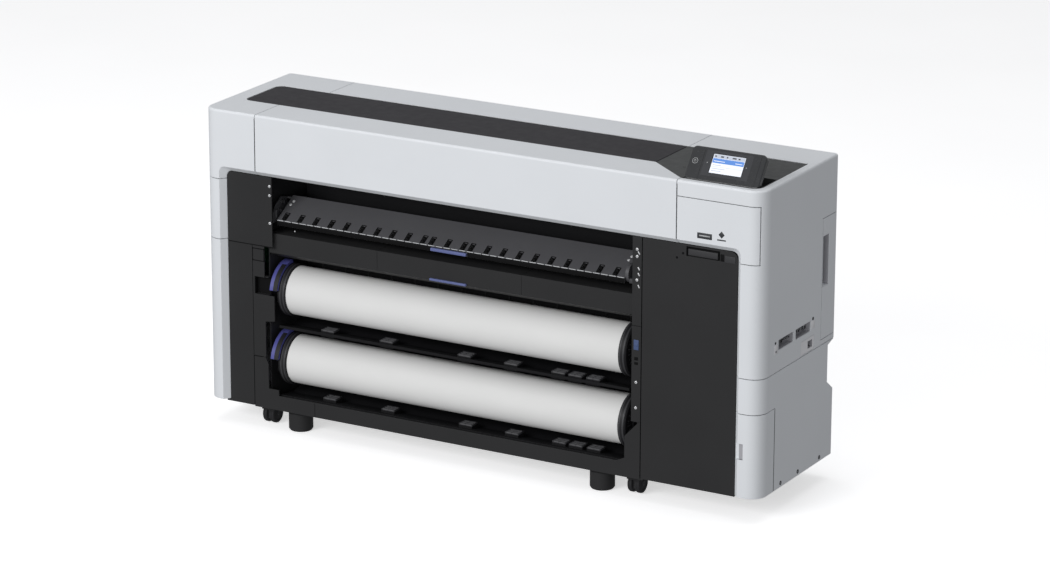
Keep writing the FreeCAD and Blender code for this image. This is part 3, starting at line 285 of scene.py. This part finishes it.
def finish_mesh(name, shape, material, body, replaces=()):
    """Turn a bmesh into a piece that rides on a body."""
    bmesh.ops.recalc_face_normals(shape, faces=shape.faces)
    mesh = bpy.data.meshes.new(name)
    shape.to_mesh(mesh)
    shape.free()
    for one in material if isinstance(material, (list, tuple)) else [material]:
        mesh.materials.append(one)
    mesh.shade_smooth()
    mesh.set_sharp_from_angle(angle=SHARP_ANGLE)
    piece = bpy.data.objects.new(name, mesh)
    COLLECTION.objects.link(piece)
    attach(piece, body)
    if replaces:
        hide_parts(*replaces)
    return piece


def put_block(shape, low, high, radius, segments=2, turn=None, material_index=0):
    """Add a block with rounded edges to a bmesh; corners in millimetres."""
    part = bmesh.new()
    bmesh.ops.create_cube(part, size=1.0)
    low, high = Vector(low), Vector(high)
    size, middle = high - low, (low + high) / 2
    part.transform(Matrix.Diagonal((*size, 1.0)))
    radius = min(radius, 0.45 * min(size))
    if radius > 0:
        bmesh.ops.bevel(part, geom=part.edges[:], offset=radius, segments=segments, profile=0.5,
                        affect="EDGES")
    for face in part.faces:
        face.material_index = material_index
    matrix = Matrix.Translation(middle)
    if turn is not None:
        matrix = turn @ matrix
    part.transform(Matrix.Scale(MM, 4) @ matrix)
    merge(shape, part)


def merge(shape, part):
    """Copy one bmesh into another."""
    mesh = bpy.data.meshes.new("scrap")
    part.to_mesh(mesh)
    part.free()
    shape.from_mesh(mesh)
    bpy.data.meshes.remove(mesh)


AXES = {"x": Matrix.Identity(4), "y": Matrix.Rotation(math.radians(90), 4, "Z"),
        "z": Matrix.Rotation(math.radians(-90), 4, "Y")}


def put_lathe(shape, profile, centre, axis="x", segments=64, matrix=None, material_index=0):
    """Add a turned form: profile holds (along, radius) pairs in millimetres."""
    part = bmesh.new()
    rings = []
    for along, radius in profile:
        if radius == 0:
            rings.append([part.verts.new((along, 0, 0))])
            continue
        ring = []
        for step in range(segments):
            angle = 2 * math.pi * step / segments
            ring.append(part.verts.new((along, radius * math.cos(angle), radius * math.sin(angle))))
        rings.append(ring)
    for first, second in zip(rings, rings[1:]):
        for step in range(segments):
            after = (step + 1) % segments
            corners = []
            corners += [first[step], first[after]] if len(first) > 1 else [first[0]]
            corners += [second[after], second[step]] if len(second) > 1 else [second[0]]
            if len(corners) > 2:
                part.faces.new(corners)
    for face in part.faces:
        face.material_index = material_index
    place = Matrix.Translation(Vector(centre)) @ AXES[axis]
    if matrix is not None:
        place = matrix @ place
    part.transform(Matrix.Scale(MM, 4) @ place)
    merge(shape, part)


def put_prism(shape, outline, span, axis="x", radius=0.0, matrix=None, material_index=0):
    """Add an outline pulled along an axis; outline holds the other two coordinates in order."""
    part = bmesh.new()
    order = {"x": (1, 2, 0), "y": (0, 2, 1), "z": (0, 1, 2)}[axis]

    def corner(point, along):
        spot = [0.0, 0.0, 0.0]
        spot[order[0]], spot[order[1]], spot[order[2]] = point[0], point[1], along
        return part.verts.new(spot)

    near = [corner(point, span[0]) for point in outline]
    far = [corner(point, span[1]) for point in outline]
    part.faces.new(near)
    part.faces.new(far)
    for index in range(len(outline)):
        after = (index + 1) % len(outline)
        part.faces.new((near[index], near[after], far[after], far[index]))
    bmesh.ops.recalc_face_normals(part, faces=part.faces)
    if radius:
        bmesh.ops.bevel(part, geom=part.edges[:], offset=radius, segments=2, profile=0.5,
                        affect="EDGES", clamp_overlap=True)
    for face in part.faces:
        face.material_index = material_index
    part.transform(Matrix.Scale(MM, 4) @ (matrix or Matrix.Identity(4)))
    merge(shape, part)


# ---------------------------------------------------------------- screws
FRONT_RADIUS, SIDE_RADIUS = 4.2, 3.2
SCREW_HEIGHT = 1.2
RECESS_LENGTH, RECESS_WIDTH = 3.8, 0.7
SIDE_SEAT, SIDE_SCREW_LEVEL = 917.4, 86
FRONT_SCREWS = [(-703, height) for height in (753, 725, 640)]
FRONT_SCREWS += [(519, height) for height in (744, 723, 654, 352, 276)]
SIDE_SCREWS = (-100, 10, 150)


def put_screw(shape, seat, axis, side, radius):
    """A pan head with its cross recess drawn as a thin dark cross, painted shade of the hollow, standing on
    its seat towards one side of an axis.
    """
    top = SCREW_HEIGHT * side
    profile = [(0, radius), (0.5 * top, radius), (0.85 * top, 0.8 * radius), (top, 0.5 * radius),
               (top, 0)]
    put_lathe(shape, profile, seat, axis, 24)
    # The cross recess is not cut: a dark cross stands on the head as painted shade.
    along = "xyz".index(axis)
    for long_axis in [number for number in range(3) if number != along]:
        low, high = list(seat), list(seat)
        for number in range(3):
            half = (RECESS_LENGTH if number == long_axis else RECESS_WIDTH) / 2
            low[number] -= half
            high[number] += half
        low[along], high[along] = sorted((seat[along] + 0.9 * top, seat[along] + 1.03 * top))
        put_block(shape, low, high, radius=0, material_index=1)


screws = bmesh.new()
for x, z in FRONT_SCREWS:
    put_screw(screws, (x, PANEL_FACE, z), "y", -1, FRONT_RADIUS)
finish_mesh("cover_screw_heads", screws, [bright_zinc, deep_plastic_and_recess_shade], "frame",
            replaces=["cover_screws"])
side_screws = bmesh.new()
for y in SIDE_SCREWS:
    for side in (1, -1):
        put_screw(side_screws, (SIDE_SEAT * side, y, SIDE_SCREW_LEVEL), "x", side, SIDE_RADIUS)
    for side in (1, -1):
        put_lathe(side_screws, [(0, 6.2), (0.3 * side, 6.2), (0.3 * side, 3.1), (0, 3.1)],
                  (SIDE_WALL * side, y, SIDE_SCREW_LEVEL), "x", 32, material_index=1)
finish_mesh("side_screw_heads", side_screws, [dark_steel, slot_black], "frame")


# ---------------------------------------------------------------- running gear
WHEEL_RADIUS, TRAIL = 29, 14
WHEEL = [(-20, 0), (-20, 9), (-18.6, 10), (-18.6, 19), (-20, 20.5), (-20, 25), (-18.4, 28),
         (-16, WHEEL_RADIUS), (-13.2, WHEEL_RADIUS), (-12.8, 28.2), (-11.8, 28.2),
         (-11.4, WHEEL_RADIUS), (-8.4, WHEEL_RADIUS), (-6, 28.2), (-4.5, 26), (-4.5, 0)]
HOOD_INNER, HOOD_OUTER, HOOD_HALF = 30.2, 33, 21.5
GEAR_Y = 170
CASTER_LEFT, CASTER_RIGHT = -743, 495
FEET_X = (-635, 388)
CASTERS = {"front_left": (CASTER_LEFT, -GEAR_Y), "front_right": (CASTER_RIGHT, -GEAR_Y),
           "rear_left": (CASTER_LEFT, GEAR_Y), "rear_right": (CASTER_RIGHT, GEAR_Y)}
for place, (x, y) in CASTERS.items():
    axle = (x, y + TRAIL, WHEEL_RADIUS)
    tyres = bmesh.new()
    for side in (1, -1):
        put_lathe(tyres, [(along * side, radius) for along, radius in WHEEL], axle, "x", 72)
        put_lathe(tyres, [(-20.4 * side, 0), (-20.4 * side, 5), (-19 * side, 7.5), (-18 * side, 7.5)],
                  axle, "x", 32, material_index=1)
    finish_mesh(f"caster_tyres_{place}", tyres, [rubber, grey_plastic], f"caster_wheels_{place}",
                replaces=[f"caster_wheels_{place}"])
    hood = bmesh.new()
    bow = [(math.cos(math.radians(angle)), math.sin(math.radians(angle)))
           for angle in range(15, 151, 9)]
    arc = [(axle[1] + HOOD_OUTER * across, axle[2] + HOOD_OUTER * up) for across, up in bow]
    arc += [(axle[1] + HOOD_INNER * across, axle[2] + HOOD_INNER * up) for across, up in reversed(bow)]
    put_prism(hood, arc, (x - HOOD_HALF, x + HOOD_HALF), "x", radius=0.8)
    put_lathe(hood, [(61.5, 13.6), (62.5, 15.5), (65.0, 15.5)], (x, y, 0), "z", 40)
    finish_mesh(f"caster_hood_{place}", hood, black_plastic, f"caster_{place}")

for number, (x, y) in enumerate([(x, y) for x in FEET_X for y in (-GEAR_Y, GEAR_Y)]):
    foot = bmesh.new()
    put_lathe(foot, [(1.5, 33.2), (4.5, 33.2)], (x, y, 0), "z", 64)
    put_lathe(foot, [(0.4, 31), (0.4, 33), (1.4, 33.6), (5, 33.6), (6, 33.0)], (x, y, 0), "z", 64)
    finish_mesh(f"foot_rim_{number}", foot, rubber, "levelling_feet")


# ---------------------------------------------------------------- rolls
PAPER_RADIUS = 73.9
PAPER_LENGTH = ROLL_RIGHT - ROLL_LEFT
CORE_DEPTH = 2
FLANGE_RADIUS, RIM_RADIUS = 79.02, 79.35
RIM_STARTS = (3, 14)
# The wound edge of the sheet, as distance in from the roll's end and radius.
WOUND_EDGE = [(0.1, 30), (0, 40), (0.3, 52), (0, 63), (0.4, 72.6), (1.4, 73.8)]
for number, height in ROLL_LEVELS.items():
    sheet_roll = bmesh.new()
    skin = [(ROLL_LEFT + inset, radius) for inset, radius in WOUND_EDGE]
    skin += [(ROLL_LEFT + 1.4 + (PAPER_LENGTH - 2) * step / 24, PAPER_RADIUS) for step in range(1, 24)]
    skin += [(ROLL_RIGHT - inset, radius) for inset, radius in reversed(WOUND_EDGE)]
    put_lathe(sheet_roll, skin, (0, ROLL_Y, height), "x", 180)
    for near, far in ((ROLL_LEFT, ROLL_LEFT + CORE_DEPTH), (ROLL_RIGHT, ROLL_RIGHT - CORE_DEPTH)):
        put_lathe(sheet_roll, [(far, 26.2), (near, 26.2), (near, 30.4), (far, 30.4)],
                  (0, ROLL_Y, height), "x", 64, material_index=1)
    finish_mesh(f"roll_{number}_sheet", sheet_roll, [paper, cardboard], f"roll_{number}",
                replaces=[f"roll_{number}_paper"])
    rims = bmesh.new()
    for x, side in ((ROLL_LEFT, -1), (ROLL_RIGHT, 1)):
        for start in RIM_STARTS:
            put_lathe(rims, [(side * start, FLANGE_RADIUS), (side * (start + 1), RIM_RADIUS),
                             (side * (start + 3), RIM_RADIUS), (side * (start + 4), FLANGE_RADIUS)],
                      (x, ROLL_Y, height), "x", 120)
    for step in range(24):
        angle = 2 * math.pi * step / 24
        spoke = Matrix.Translation((ROLL_RIGHT, ROLL_Y, height)) @ Matrix.Rotation(angle, 4, "X")
        put_block(rims, (24, -1.2, 36), (25.2, 1.2, 60), radius=0.5, turn=spoke)
    finish_mesh(f"roll_{number}_ribs", rims, grey_plastic, f"roll_{number}")


def put_arc(shape, radius, thick, start, end, span, height):
    """A curved plate around a roll's axis; angles in degrees from straight up towards the front."""
    angles = [math.radians(start + (end - start) * step / 10) for step in range(11)]
    outline = [(ROLL_Y - reach * math.sin(angle), height + reach * math.cos(angle))
               for reach, row in ((radius + thick, angles), (radius, angles[::-1])) for angle in row]
    put_prism(shape, outline, span, "x")


# Dark curved plates over the right part of each blue roll lever: painted shade between the lever and the
# roll's flange, so the lever reads slimmer.
LEVER_START, LEVER_END = 22, 79.6
LEVER_SPAN = (-696, -681.6)
for number, height in ROLL_LEVELS.items():
    band = bmesh.new()
    for radius, thick in ((90.3, 0.9), (81.2, 0.5)):
        put_arc(band, radius, thick, LEVER_START, LEVER_END, LEVER_SPAN, height)
    finish_mesh(f"lever_{number}_shade", band, flange_black_and_lever_shade, f"roll_{number}_lever")


# ---------------------------------------------------------------- control panel
PANEL_CORNER = (657, -210.5, 968)
PANEL_ANGLE = 54
TILT = Matrix.Translation(PANEL_CORNER) @ Matrix.Rotation(math.radians(PANEL_ANGLE), 4, "X")
SCREEN_LEFT, SCREEN_RIGHT = 70.6, 166.4
BUTTON_X, BUTTON_LEVEL = 18.5, 56
WHITE_AREA, BLUE_AREA, GREY_AREA, DARK_AREA = range(4)


def put_plate(shape, left, right, low, high, level, thick, material_index=0):
    """A thin plate on the tilted panel, in the panel's own millimetres."""
    put_block(shape, (left, low, level), (right, high, level + thick), radius=0, turn=TILT,
              material_index=material_index)


display = bmesh.new()
put_plate(display, SCREEN_LEFT - 1.2, SCREEN_RIGHT + 1.2, 27.4, 83.6, -1.55, 1.2)
for low, high, area in ((72.0, 82.6, GREY_AREA), (57.5, 71.2, BLUE_AREA), (46.2, 47.0, GREY_AREA)):
    put_plate(display, SCREEN_LEFT, SCREEN_RIGHT, low, high, -0.36, 0.12, area)
for step, wide in enumerate((5, 9, 4, 12, 6)):
    put_plate(display, 74 + 18 * step, 74 + 18 * step + wide, 75.6, 79.4, -0.25, 0.12, DARK_AREA)
for left, low, wide, area in ((74, 62.4, 34, WHITE_AREA), (140, 62.4, 22, WHITE_AREA),
                              (74, 50.6, 26, GREY_AREA), (74, 40.2, 40, GREY_AREA),
                              (74, 33.4, 30, GREY_AREA)):
    put_plate(display, left, left + wide, low, low + 1.8, -0.25, 0.12, area)
finish_mesh("display_picture", display, [screen_white, screen_blue, screen_grey, dark_print_and_seam_shade],
            "control_panel", replaces=["panel_screen"])

marks = bmesh.new()
put_lathe(marks, [(0, 7.3), (0.25, 7.5), (0.25, 8.2), (0, 8.4)], (BUTTON_X, BUTTON_LEVEL, 0), "z", 48,
          matrix=TILT)
for middle, side in ((56, -1), (177, 1)):
    put_prism(marks, [(middle + 1.6 * side, 55.4), (middle - 1.2 * side, 57.6),
                      (middle - 1.2 * side, 53.2)], (0, 0.15), "z", matrix=TILT)
finish_mesh("panel_marks", marks, light_mark, "control_panel")
touch_area = bmesh.new()
for left, right, low, high in ((46, 190, 17, 26), (46, 190, 85, 93), (46, 68, 26, 85), (169, 190, 26, 85)):
    put_plate(touch_area, left, right, low, high, -0.02, 0.06)
finish_mesh("panel_touch_area", touch_area, touch_plastic, "control_panel")
panel_lines = bmesh.new()
for left, right in ((39.6, 40.4), (213.0, 213.8)):
    put_plate(panel_lines, left, right, 4, 97, -0.02, 0.1)
for left, right, low, high in ((67.4, 68.4, 25.6, 85.4), (168.6, 169.6, 25.6, 85.4),
                               (67.4, 169.6, 84.8, 85.6), (67.4, 169.6, 25.4, 26.2)):
    put_plate(panel_lines, left, right, low, high, 0.02, 0.16)
finish_mesh("panel_lines", panel_lines, deep_plastic_and_recess_shade, "control_panel")
power_mark = bmesh.new()
put_lathe(power_mark, [(0.6, 2.3), (0.74, 2.4), (0.74, 3.1), (0.6, 3.2)], (BUTTON_X, BUTTON_LEVEL, 0),
          "z", 40, matrix=TILT)
put_plate(power_mark, BUTTON_X - 0.3, BUTTON_X + 0.3, BUTTON_LEVEL + 1.2, BUTTON_LEVEL + 4.4, 0.6, 0.16)
finish_mesh("power_mark", power_mark, light_mark, "power_button")


# ---------------------------------------------------------------- marks on the covers
BADGE_FACE, BADGE_BACK = COVER_FRONT - 0.15, COVER_FRONT + 0.4
badges = bmesh.new()
put_block(badges, (716, BADGE_FACE, 811), (762, BADGE_BACK, 828), radius=1.5, segments=3)
put_block(badges, (778, BADGE_FACE, 813), (805, BADGE_BACK, 817), radius=0.8)
put_prism(badges, [(791.5, 841), (801, 830.5), (791.5, 820), (782, 830.5)], (BADGE_FACE, BADGE_BACK),
          "y", radius=0.3)
finish_mesh("cover_badges", badges, dark_print_and_seam_shade, "frame")
stripe = bmesh.new()
put_block(stripe, (722, BADGE_FACE - 0.1, 817.5), (756, COVER_FRONT, 821.5), radius=0.8)
finish_mesh("badge_stripe", stripe, light_mark, "frame")


# ---------------------------------------------------------------- painted shade in the widest seams and in the side grip's cup
# Dark strips in the widest seams: the seams' dark joints together with painted shade of their depth; the side
# strip is wider than the gap to carry that shade.
seam_strips = bmesh.new()
for low, high in ((650.2, 652.6), (-740.9, -738.4)):
    put_block(seam_strips, (low, COVER_FRONT - 0.12, 799), (high, COVER_FRONT + 12, 958), radius=0)
put_block(seam_strips, (SIDE_WALL - 8, -147.0, 75), (SIDE_WALL + 0.12, -143.6, 319), radius=0)
finish_mesh("seam_painted_shade", seam_strips, dark_print_and_seam_shade, "frame")
# Grey walls inside the side door's grip cup: the white cover drawn in painted shade, darker as the recess is.
CUP_LOW, CUP_HIGH = 597.2, 746.8
cup_shade_walls = bmesh.new()
put_block(cup_shade_walls, (900.8, 144.2, CUP_LOW), (901.5, 182.8, CUP_HIGH), radius=0)
put_block(cup_shade_walls, (901, 182.2, CUP_LOW), (SIDE_WALL - 1.5, 182.9, CUP_HIGH), radius=0)
finish_mesh("side_grip_painted_shade", cup_shade_walls, grip_cup_shade_grey, "side_door")


# ---------------------------------------------------------------- paper guide
def guide_level(y):
    """Height of the guide's upper face."""
    return GUIDE_LEVEL + GUIDE_RISE * (y - GUIDE_FRONT)


def on_guide(x, y):
    """A place on the guide's upper face, turned to lie along it."""
    return Matrix.Translation((x, y, guide_level(y))) @ Matrix.Rotation(GUIDE_SLOPE, 4, "X")


SLOT_ROWS = ((-668, 10), (-167, 3), (-36, 10))
SLOT_PITCH, SLOT_Y = 52.5, -184.5
SLOTS = [first + SLOT_PITCH * step for first, count in SLOT_ROWS for step in range(count)]
slot_parts = bmesh.new()
for middle in SLOTS:
    place = on_guide(middle, SLOT_Y)
    for side in (-1, 1):
        put_block(slot_parts, (side * 6.8 - 1, -15, -0.5), (side * 6.8 + 1, 15, 1.6), radius=0.5, turn=place)
        put_block(slot_parts, (-6, side * 14.6 - 1, -0.5), (6, side * 14.6 + 1, 1.2), radius=0.4, turn=place)
    put_block(slot_parts, (-5.3, -13, -6), (5.3, 13, -4), radius=0.3, turn=place)
    for across in (-8, 5):
        put_lathe(slot_parts, [(-3.5, 0), (-3.5, 4.6), (3.5, 4.6), (3.5, 0)], (0, across, -2.6), "x", 24,
                  matrix=place)
finish_mesh("guide_wheels", slot_parts, slot_black, "paper_guide")

STRIP_LEFT, STRIP_PITCH, STRIP_DASH = -689, 25.8, 21.5
strip = bmesh.new()
for step in range(45):
    left = STRIP_LEFT + STRIP_PITCH * step
    put_block(strip, (left, GUIDE_FRONT - 0.7, GUIDE_LEVEL - 1.4),
              (left + STRIP_DASH, GUIDE_FRONT + 0.6, GUIDE_LEVEL + 0.9), radius=0.3)
finish_mesh("guide_front_strip", strip, light_mark, "paper_guide")
lip = bmesh.new()
for low, high, bottom in ((-689.8, -162, 632.2), (-42, 469.8, 632.2), (-162, -42, 644)):
    put_block(lip, (low, GUIDE_FRONT - 0.5, bottom), (high, GUIDE_FRONT + 0.2, 646.2), radius=0.2)
finish_mesh("guide_lip_face", lip, slot_black, "paper_guide")
rivets = bmesh.new()
for x, y in ((-675, -130), (-678, -143), (455, -130), (452, -143)):
    put_lathe(rivets, [(-0.5, 4.6), (0.8, 4.4), (1.5, 3.0), (1.8, 0)], (0, 0, 0), "z", 24,
              matrix=on_guide(x, y))
put_lathe(rivets, [(1, 0), (1, 2.2), (-1.2, 1.8), (-1.2, 0)], (-628, GUIDE_FRONT - 0.2, 622), "y", 20)
finish_mesh("guide_rivets", rivets, bright_zinc, "paper_guide")


def ribbed_grip(low, high, radius, first, pitch, rib_low, rib_high):
    """A rounded pull with a row of short ribs standing out of its front face."""
    grip = bmesh.new()
    put_block(grip, low, high, radius=radius, segments=3)
    for step in range(19):
        left = first + pitch * step
        put_block(grip, (left, low[1] - 0.4, rib_low), (left + 2.5, low[1] + 0.3, rib_high), radius=0.3)
    return grip


guide_grip = ribbed_grip((GRIP_LEFT, GUIDE_FRONT - 8.5, 634.4), (GRIP_RIGHT, GUIDE_FRONT + 0.4, 643.6),
                         1.6, -155, 6, 636, 642)
finish_mesh("guide_grip_cover", guide_grip, pull_plastic, "paper_guide")
flap_grip = ribbed_grip((GRIP_LEFT - 2.1, -211.4, 545.9), (GRIP_RIGHT + 1.1, -203.6, 552.6),
                        1.5, -158, 6.1, 547.2, 551.4)
finish_mesh("flap_grip_cover", flap_grip, pull_plastic, "feeder_flap")

CHEEK_FACE, CHEEK_THICK = -703, 6
cheeks = bmesh.new()
put_prism(cheeks, [(-199, 636), (-158, 636), (-122, 676), (-122, 700), (-150, 706), (-178, 690),
                   (-199, 664)], (CHEEK_FACE - CHEEK_THICK, CHEEK_FACE), "x", radius=1.2)
for y, z in ((-186, 648), (-150, 690), (-168, 668)):
    put_lathe(cheeks, [(-2, 0), (-2, 6), (1, 7), (4, 7)], (CHEEK_FACE, y, z), "x", 24)
put_block(cheeks, (CHEEK_FACE, -196, 652), (CHEEK_FACE + 9, -190, 676), radius=1.2)
put_lathe(cheeks, [(486, 0), (486, 16), (489, 19), (496, 19), (498, 17)], (0, -168, 662), "x", 56)
put_block(cheeks, (484, -200, 634), (498, -186, 648), radius=1.5)
finish_mesh("guide_cheeks", cheeks, grey_plastic, "frame")


# ---------------------------------------------------------------- roll bay
PAD_ROLLER = [(-19, 0), (-19, 4), (-18, 5), (-2, 5), (-2, 4.2), (2, 4.2), (2, 5), (18, 5), (19, 4), (19, 0)]
PAD_PLACES = (-527, -325, -61, 94, 250, 305, 364)
# Front edge and level of the pads in each tray.
TRAYS = ((-188, 314), (-181, 101))
ridges = bmesh.new()
for front, level in TRAYS:
    for x in PAD_PLACES:
        for row in range(3):
            y = front + 6 + 12 * row
            put_lathe(ridges, PAD_ROLLER, (x, y, level + 11), "x", 24)
        for edge in (-22, 19.2):
            put_block(ridges, (x + edge, front + 0.5, level + 9.4),
                      (x + edge + 2.8, front + 35.5, level + 15), radius=0.8)
finish_mesh("tray_pads", ridges, grey_plastic, "frame")
ribs = bmesh.new()
for x in range(-640, 481, 80):
    for low, high in ((330, 500), (110, 300)):
        put_block(ribs, (x, -35, low), (x + 5, -32.6, high), radius=0.8)
finish_mesh("bay_ribs", ribs, deep_plastic_and_recess_shade, "frame")


# ---------------------------------------------------------------- front panels
# Grooves of the left column, each as its lower left and upper right corner.
COLUMN_GROOVES = (((-767, 518), (-724.5, 521.2)), ((-767, 554.6), (-724.5, 557.8)),
                  ((-727.7, 518), (-724.5, 557.8)), ((-767.4, 518), (-764.2, 557.8)),
                  ((-767.4, 67), (-764.8, 222)), ((-767.4, 221), (-737, 224)),
                  ((-861, 565), (-694, 567.8)))
column_lines = bmesh.new()
for low, high in COLUMN_GROOVES:
    put_block(column_lines, (low[0], PANEL_FACE - 0.12, low[1]), (high[0], PANEL_FACE + 0.4, high[1]),
              radius=0)
put_block(column_lines, (-555.9, PANEL_FACE - 0.1, 64), (-554.1, PANEL_FACE + 0.5, 107.5), radius=0)
put_block(column_lines, (504.6, PANEL_FACE - 0.1, 518.2), (533.4, PANEL_FACE + 0.5, 519.8), radius=0)
for low, high in ((404, 412), (417, 427)):
    put_block(column_lines, (513, PANEL_FACE - 0.3, low), (525, PANEL_FACE + 0.5, high), radius=0.8)
finish_mesh("panel_grooves", column_lines, slot_black, "frame")

pit = bmesh.new()
put_block(pit, (-759.6, -201.9, 416.4), (-714, -201.2, 469.6), radius=0)
put_block(pit, (-759.8, -214.4, 416.2), (-759.0, -201.3, 469.8), radius=0)
put_block(pit, (-759.6, -214.4, 469.0), (-716, -201.3, 469.9), radius=0)
finish_mesh("pit_liner", pit, slot_black, "frame")

TAB_LEVELS = (734, 688, 671, 636)
tabs = bmesh.new()
for z in TAB_LEVELS:
    place = Matrix.Translation((525, PANEL_FACE, z)) @ Matrix.Rotation(math.radians(-30), 4, "Y")
    put_block(tabs, (-1.8, -1.4, -5), (1.8, 0.3, 5), radius=0.7, turn=place)
finish_mesh("post_tabs", tabs, bright_zinc, "frame")

grip_parts = bmesh.new()
put_block(grip_parts, (676, PANEL_FACE + 4.5, 749), (769, PANEL_FACE + 12.8, 768), radius=1.4, segments=3)
put_block(grip_parts, (673.2, PANEL_FACE + 12.0, 748.2), (777.8, PANEL_FACE + 12.9, 775.8), radius=0,
          material_index=1)
put_block(grip_parts, (779.5, PANEL_FACE - 0.15, 748), (791, PANEL_FACE + 0.6, 769), radius=0.4,
          material_index=1)
put_block(grip_parts, (794, PANEL_FACE - 1.2, 747), (826, PANEL_FACE + 0.6, 766), radius=1.0, segments=3)
for x, z in ((644, 739), (663, 754)):
    put_lathe(grip_parts, [(0.4, 3.6), (-0.2, 3.6), (-0.3, 2.6), (-0.3, 0)], (x, PANEL_FACE, z), "y", 24,
              material_index=1)
finish_mesh("door_grip_parts", grip_parts, [grip_plastic, slot_black], "ink_door")

# Grey back and side walls in the corner cover's notch: the white cover drawn in painted shade.
notch = bmesh.new()
put_block(notch, (852.2, -229.3, 184.5), (869.5, -228.2, 234.5), radius=0)
put_block(notch, (868.3, -235.2, 184.5), (869.5, -228.2, 234.5), radius=0)
finish_mesh("corner_cover_cup", notch, side_grey_and_painted_shade, "corner_cover")

latch = bmesh.new()
put_block(latch, (511, PANEL_FACE - 1.6, 448), (527, PANEL_FACE + 0.5, 478), radius=1.2, segments=3)
put_block(latch, (514, PANEL_FACE - 2.2, 459), (524, PANEL_FACE - 1.4, 467), radius=0.5)
finish_mesh("post_latch", latch, latch_plastic, "frame")


# ---------------------------------------------------------------- connectors in the side slots
SLOT_LEVEL = 501
sockets = bmesh.new()
for y, wide, high in ((-122, 17, 13.5), (-98, 17, 13.5), (-70, 13, 6), (-52, 13, 6),
                      (-12, 17, 13.5), (14, 13, 11), (34, 13, 6), (54, 12, 12)):
    low, top = SLOT_LEVEL - high / 2, SLOT_LEVEL + high / 2
    put_block(sockets, (SIDE_WALL - 21, y, low), (SIDE_WALL - 12, y + wide, top), radius=0.6)
    put_block(sockets, (SIDE_WALL - 12.5, y + 1.6, low + 1.6), (SIDE_WALL - 11.7, y + wide - 1.6, top - 1.6),
              radius=0, material_index=1)
for y, z, radius in ((-150, 513, 4.2), (-146, 487, 3.4), (88, 520, 5.2)):
    put_lathe(sockets, [(-0.5, radius), (0.6, 0.92 * radius), (0.9, 0.5 * radius), (0.9, 0)],
              (SIDE_WALL, y, z), "x", 24, material_index=1)
finish_mesh("connector_shells", sockets, [steel, deep_plastic_and_recess_shade], "frame")
plates = bmesh.new()
for low, high in (((-158, 480), (-134, 507)), ((77, 492), (100, 514))):
    put_block(plates, (SIDE_WALL - 0.1, *low), (SIDE_WALL + 0.4, *high), radius=0.2)
for low, high in (((14.8, 428.8), (97.2, 438)), ((14.8, 460), (97.2, 469.2)),
                  ((14.8, 438), (58, 460)), ((88, 438), (97.2, 460))):
    put_block(plates, (SIDE_WALL - 1.1, *low), (SIDE_WALL - 0.5, *high), radius=0)
finish_mesh("connector_plates", plates, pale_plate, "frame")


# ---------------------------------------------------------------- camera, light, floor
AIM = Vector((-0.0710, 0.0, 0.5033))
AZIMUTH, ELEVATION, DISTANCE = math.radians(29.963), math.radians(17.118), 12.373
LENS, SENSOR = 145.306286, 36.0
SHIFT_ACROSS, SHIFT_UP = 0.0301, -0.0047
away = Vector((math.sin(AZIMUTH) * math.cos(ELEVATION), -math.cos(AZIMUTH) * math.cos(ELEVATION),
               math.sin(ELEVATION)))
camera_data = bpy.data.cameras.new("camera")
camera_data.sensor_width = SENSOR
camera_data.lens = LENS
camera_data.shift_x = SHIFT_ACROSS
camera_data.shift_y = SHIFT_UP
camera = bpy.data.objects.new("camera", camera_data)
camera.location = AIM + away * DISTANCE
camera.rotation_mode = "QUATERNION"
camera.rotation_quaternion = (-away).to_track_quat("-Z", "Y")
COLLECTION.objects.link(camera)
bpy.context.scene.camera = camera


def area_light(name, place, target, width, height, power):
    """A white rectangular light that points at its target."""
    data = bpy.data.lights.new(name, "AREA")
    data.shape = "RECTANGLE"
    data.size, data.size_y = width, height
    data.energy = power
    lamp = bpy.data.objects.new(name, data)
    lamp.location = place
    direction = Vector(target) - Vector(place)
    lamp.rotation_euler = direction.to_track_quat("-Z", "Y").to_euler()
    COLLECTION.objects.link(lamp)


area_light("key", (-2.6, -7.2, 4.0), (0.0, 0.0, 0.5), 4.5, 3.0, 320)
area_light("front_fill", (2.4, -7.2, 1.6), (0.0, 0.0, 0.5), 4.0, 2.0, 115)
area_light("overhead", (0.0, 0.6, 5.0), (0.0, 0.0, 0.9), 5.0, 3.0, 60)
world = bpy.data.worlds.new("world")
world.use_nodes = True
sky = world.node_tree.nodes["Background"]
sky.inputs["Color"].default_value = (0.97, 0.98, 1.0, 1.0)
sky.inputs["Strength"].default_value = 0.29
bpy.context.scene.world = world
bpy.context.scene.view_settings.view_transform = "Standard"

floor_graph = Graph("floor")
floor_tone = floor_graph.spread(floor_graph.noise(1.5, 2.0), 0.0, 1.0)
floor_graph.link(floor_graph.mix(floor_tone, (0.90, 0.90, 0.91, 1.0), (0.93, 0.93, 0.94, 1.0)),
                 floor_graph.shader.inputs["Base Color"])
floor_graph.shader.inputs["Roughness"].default_value = 0.8
floor_graph.shader.inputs["Emission Color"].default_value = (1.0, 1.0, 1.0, 1.0)
floor_graph.shader.inputs["Emission Strength"].default_value = 0.56
floor_shape = bmesh.new()
bmesh.ops.create_grid(floor_shape, x_segments=8, y_segments=8, size=60.0)
floor_mesh = bpy.data.meshes.new("floor")
floor_shape.to_mesh(floor_mesh)
floor_shape.free()
floor_mesh.materials.append(floor_graph.material)
floor = bpy.data.objects.new("floor", floor_mesh)
floor.location.z = -0.0005
floor.visible_diffuse = False
floor.visible_glossy = False
COLLECTION.objects.link(floor)
